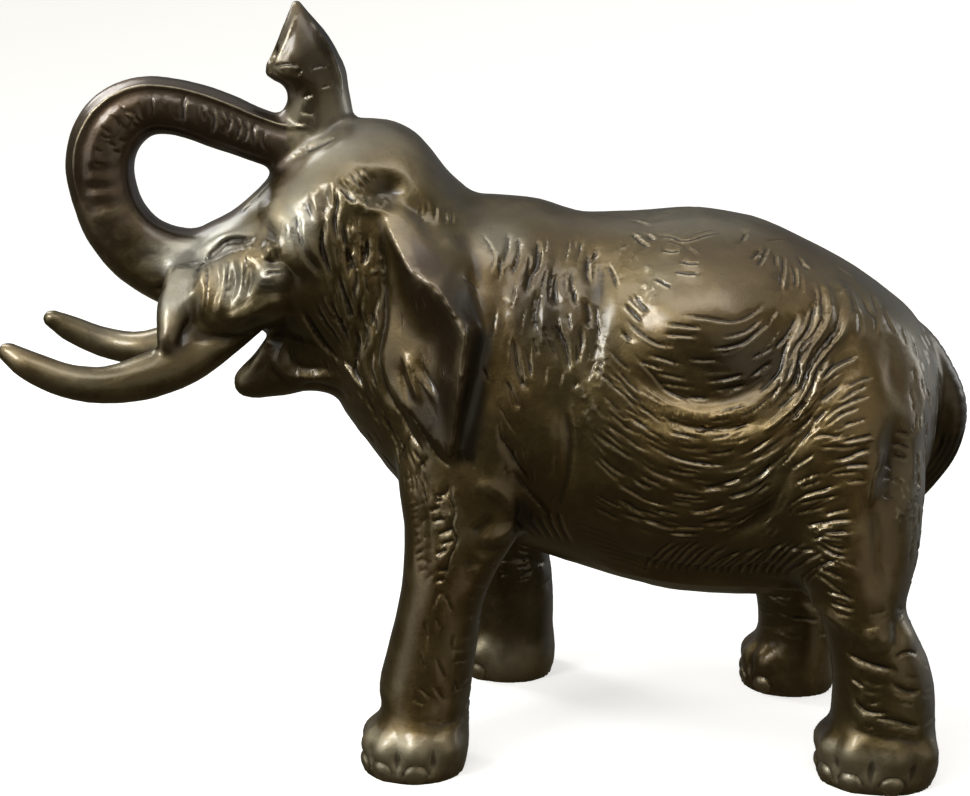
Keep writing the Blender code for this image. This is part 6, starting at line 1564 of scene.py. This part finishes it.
# ------------------------------------------------------------------ bronze
class Nodes:
    """Short names for the nodes of one material."""

    def __init__(self, tree):
        self.tree = tree

    def new(self, kind, **settings):
        node = self.tree.nodes.new(kind)
        for name, value in settings.items():
            setattr(node, name, value)
        return node

    def link(self, source, target):
        if hasattr(source, "is_output"):
            self.tree.links.new(source, target)
        else:
            target.default_value = source

    def value(self, name):
        return self.new("ShaderNodeAttribute", attribute_name=name).outputs["Fac"]

    def math(self, what, a, b=0.0, clamp=False):
        node = self.new("ShaderNodeMath", operation=what, use_clamp=clamp)
        self.link(a, node.inputs[0])
        self.link(b, node.inputs[1])
        return node.outputs[0]

    def ramp(self, value, low, high, out_low=0.0, out_high=1.0):
        node = self.new("ShaderNodeMapRange", clamp=True, interpolation_type="SMOOTHSTEP")
        self.link(value, node.inputs["Value"])
        for name, given in (("From Min", low), ("From Max", high), ("To Min", out_low), ("To Max", out_high)):
            node.inputs[name].default_value = given
        return node.outputs["Result"]

    def noise(self, where, scale, detail=3.0, rough=0.55, distort=0.0):
        node = self.new("ShaderNodeTexNoise")
        self.link(where, node.inputs["Vector"])
        for name, given in (("Scale", scale), ("Detail", detail), ("Roughness", rough), ("Distortion", distort)):
            node.inputs[name].default_value = given
        return node.outputs["Fac"]

    def mix(self, amount, a, b, blend="MIX"):
        node = self.new("ShaderNodeMix", data_type="RGBA", blend_type=blend)
        self.link(amount, node.inputs["Factor"])
        for given, slot in ((a, node.inputs[6]), (b, node.inputs[7])):
            self.link(given, slot)
        return node.outputs[2]


def rgb(r, g, b):
    return (r, g, b, 1.0)


def bronze():
    """Dark brown patina over bronze: dark in the cuts, worn to metal on the ridges, greyer and lighter where
    silver-grey patina and painted highlight are set, lighter where amber patina and painted light are set, darker where
    purple-brown patina and painted shade are set, and near black where shade alone is painted.
    """
    made = bpy.data.materials.new("bronze_patina")
    made.use_nodes = True
    tree = made.node_tree
    n = Nodes(tree)
    shader = tree.nodes["Principled BSDF"]
    where = n.new("ShaderNodeTexCoord").outputs["Object"]
    cut, fold, hollow = n.value("cut"), n.value("fold"), n.value("hollow")
    broad, blotch, grain, speck = n.noise(where, 22, 2), n.noise(where, 95, 4, 0.62), n.noise(where, 520, 4, 0.65), n.noise(where, 1500, 2)

    colour = n.mix(n.ramp(broad, 0.35, 0.65), rgb(0.144, 0.090, 0.027), rgb(0.120, 0.088, 0.033))
    colour = n.mix(n.math("MULTIPLY", n.ramp(blotch, 0.45, 0.7), 0.5), colour, rgb(0.195, 0.140, 0.053))
    # amber patina, partly painted light
    colour = n.mix(n.math("MULTIPLY", n.value("amber_and_painted_light"), 0.75), colour, rgb(0.30, 0.205, 0.075))
    # purple-brown patina, partly painted shade
    colour = n.mix(n.math("MULTIPLY", n.value("purple_and_painted_shade"), 0.75), colour, rgb(0.085, 0.053, 0.037))
    # silver-grey patina, partly painted highlight
    colour = n.mix(n.math("MULTIPLY", n.value("silver_and_painted_highlight"), 0.8), colour, rgb(0.50, 0.485, 0.415))
    colour = n.mix(n.math("MULTIPLY", n.value("dull"), 0.8), colour, rgb(0.54, 0.475, 0.33))
    # patina gathers in the folds, and deepest in the cuts
    colour = n.mix(n.ramp(hollow, 0.15, 1.1, 0, 0.6), colour, rgb(0.046, 0.027, 0.008))
    colour = n.mix(n.ramp(fold, 0.08, 0.8, 0, 0.65), colour, rgb(0.034, 0.02, 0.006))
    colour = n.mix(n.ramp(cut, 0.2, 0.95, 0, 0.75), colour, rgb(0.020, 0.012, 0.005))
    # handling wears the ridges back to metal
    worn = n.math("MULTIPLY", n.ramp(cut, -0.1, -0.5), n.ramp(grain, 0.3, 0.6, 0.45, 1.0))
    metal = n.mix(n.value("silver_and_painted_highlight"), rgb(0.43, 0.355, 0.23), rgb(0.54, 0.52, 0.45))
    colour = n.mix(n.math("MULTIPLY", worn, 0.8), colour, metal)
    proud = n.math("MULTIPLY", n.ramp(fold, -0.15, -0.9), n.ramp(blotch, 0.4, 0.62, 0.2, 1.0))
    colour = n.mix(n.math("MULTIPLY", proud, 0.35), colour, rgb(0.34, 0.27, 0.15))
    # painted shade: near black on the back of the ear, the leg folds, the tail and the other places that lie in shade
    colour = n.mix(n.math("MULTIPLY", n.value("painted_shade"), 0.9), colour, rgb(0.014, 0.009, 0.004))
    colour = n.mix(n.ramp(speck, 0.66, 0.76, 0, 0.5), colour, rgb(0.03, 0.018, 0.006))
    n.link(colour, shader.inputs["Base Color"])

    shader.inputs["Metallic"].default_value = 0.94
    rough = n.ramp(blotch, 0.3, 0.7, 0.36, 0.46)
    rough = n.math("ADD", rough, n.ramp(grain, 0.3, 0.7, -0.03, 0.05))
    rough = n.math("ADD", rough, n.ramp(fold, 0.0, 0.8, 0.0, 0.2))
    rough = n.math("SUBTRACT", rough, n.math("MULTIPLY", worn, 0.05))
    rough = n.math("ADD", rough, n.math("MULTIPLY", n.value("dull"), 0.17))
    n.link(rough, shader.inputs["Roughness"])
    shader.inputs["Coat Weight"].default_value = 0.8
    shader.inputs["Coat Roughness"].default_value = 0.22
    shader.inputs["Coat IOR"].default_value = 1.62

    height = n.math("ADD", n.math("MULTIPLY", grain, 0.6), n.math("MULTIPLY", speck, 0.4))
    bump = n.new("ShaderNodeBump")
    bump.inputs["Strength"].default_value = 0.22
    bump.inputs["Distance"].default_value = 0.0005
    n.link(height, bump.inputs["Height"])
    n.link(bump.outputs["Normal"], shader.inputs["Normal"])
    return made


# ------------------------------------------------------------------ studio
def pale_floor():
    """A floor that sweeps up into a wall all round, far outside the statuette."""
    profile = [(0.0, 0.0), (0.6, 0.0), (1.15, 0.0)]
    for k in range(1, 13):
        a = math.pi / 2 * k / 12
        profile.append((1.15 + 0.6 * math.sin(a), 0.6 * (1 - math.cos(a))))
    profile.append((1.75, 1.8))
    mesh = bmesh.new()
    count = 96
    middle = mesh.verts.new((0, 0, 0))
    rows = []
    for radius, z in profile[1:]:
        rows.append([mesh.verts.new((radius * math.cos(2 * math.pi * i / count), radius * math.sin(2 * math.pi * i / count), z))
                     for i in range(count)])
    for i in range(count):
        mesh.faces.new((middle, rows[0][i], rows[0][(i + 1) % count]))
    for a, b in zip(rows, rows[1:]):
        for i in range(count):
            j = (i + 1) % count
            mesh.faces.new((a[i], b[i], b[j], a[j]))
    data = bpy.data.meshes.new("studio_floor")
    mesh.to_mesh(data)
    mesh.free()
    data.polygons.foreach_set("use_smooth", [True] * len(data.polygons))
    floor = bpy.data.objects.new("studio_floor", data)
    bpy.context.scene.collection.objects.link(floor)
    paper = bpy.data.materials.new("pale_paper")
    paper.use_nodes = True
    shader = paper.node_tree.nodes["Principled BSDF"]
    shader.inputs["Base Color"].default_value = (0.82, 0.81, 0.79, 1)
    shader.inputs["Roughness"].default_value = 0.9
    shader.inputs["Specular IOR Level"].default_value = 0.1
    shader.inputs["Emission Color"].default_value = (1.0, 0.99, 0.97, 1)
    shader.inputs["Emission Strength"].default_value = FLOOR_GLOW
    data.materials.append(paper)
    floor.visible_glossy = floor.visible_diffuse = False
    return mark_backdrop(floor)


def softbox(name, at, towards, size, power, colour=(1, 1, 1), spread=180):
    light = bpy.data.lights.new(name, "AREA")
    light.shape, light.size, light.size_y = "RECTANGLE", size[0], size[1]
    light.energy, light.color, light.spread = power, colour, math.radians(spread)
    made = bpy.data.objects.new(name, light)
    bpy.context.scene.collection.objects.link(made)
    made.location = at
    made.rotation_euler = (Vector(towards) - Vector(at)).to_track_quat("-Z", "Y").to_euler()
    made.visible_camera = False
    return made


def room(base, lobes):
    """Soft light from a dim room: a base colour, and paler parts of its walls and ceiling.
    Each of those is a direction, the angles from it where it is full and where it has faded, and a colour."""
    world = bpy.data.worlds.new("room")
    bpy.context.scene.world = world
    world.use_nodes = True
    n = Nodes(world.node_tree)
    back = world.node_tree.nodes["Background"]
    way = n.new("ShaderNodeTexCoord").outputs["Generated"]
    colour = base
    for towards, full, faded, tint in lobes:
        dot = n.new("ShaderNodeVectorMath", operation="DOT_PRODUCT")
        n.link(way, dot.inputs[0])
        dot.inputs[1].default_value = Vector(towards).normalized()
        part = n.ramp(dot.outputs["Value"], math.cos(math.radians(faded)), math.cos(math.radians(full)))
        colour = n.mix(part, colour, tint)
    n.link(colour, back.inputs["Color"])
    return world


def studio():
    room(rgb(0.071, 0.062, 0.040), (
        ((0, 0.2, 1), 30, 62, rgb(0.54, 0.54, 0.53)),
        ((0.1, 1, 0.1), 25, 60, rgb(0.12, 0.12, 0.12)),
        ((0.9, 0.45, 0.15), 18, 48, rgb(0.24, 0.26, 0.28)),
        ((0.66, -0.75, 0.1), 16, 36, rgb(0.42, 0.385, 0.31)),
        ((-0.80, -0.50, 0.36), 14, 38, rgb(0.84, 0.85, 0.82)),
        ((-0.55, -0.2, 0.75), 14, 40, rgb(1.15, 1.18, 1.17)),
        ((0, -0.62, 0.74), 10, 32, rgb(0.55, 0.555, 0.52)),
        ((0, 0, -1), 50, 85, rgb(0.064, 0.054, 0.033)),
    ))
    softbox("window", (-0.56, -0.62, 0.66), (0, 0, 0.1), (0.30, 0.26), 3.4, (0.96, 0.985, 0.99))
    softbox("skylight", (-0.62, 0.35, 0.86), (0, 0, 0.1), (0.25, 0.7), 3.3, (0.96, 0.985, 0.99))
    softbox("over", (0.1, -0.5, 1.0), (0, 0, 0.1), (0.9, 0.4), 2.4, (1.0, 0.99, 0.97))
    softbox("right_rear", (0.95, 0.35, 0.35), (0.05, 0, 0.12), (0.4, 0.5), 1.1, (0.95, 0.975, 1.0))


def camera():
    data = bpy.data.cameras.new("camera")
    data.sensor_width, data.lens = 36.0, 36.0 * 1475 / 970
    data.clip_start, data.clip_end = 0.01, 20
    made = bpy.data.objects.new("camera", data)
    bpy.context.scene.collection.objects.link(made)
    yaw, pitch = math.radians(5.0), math.radians(11.8)
    made.location = (0.430 * math.sin(yaw) - 0.0017, -0.430 * math.cos(yaw) + 0.00143, 0.190)
    made.rotation_euler = (math.pi / 2 - pitch, 0, yaw)
    bpy.context.scene.camera = made
    return made


FLOOR_GLOW = 0.62

skin_object, points, normals = thinned(*cast_skin())
set_in_box(skin_object, points, normals)
skin_object.data.materials.clear()
skin_object.data.materials.append(bronze())
skin_object.name = "bronze_elephant_skin"
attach(skin_object, "root")
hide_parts("elephant")

pale_floor()
camera()
studio()
bpy.context.scene.view_settings.view_transform = "Standard"
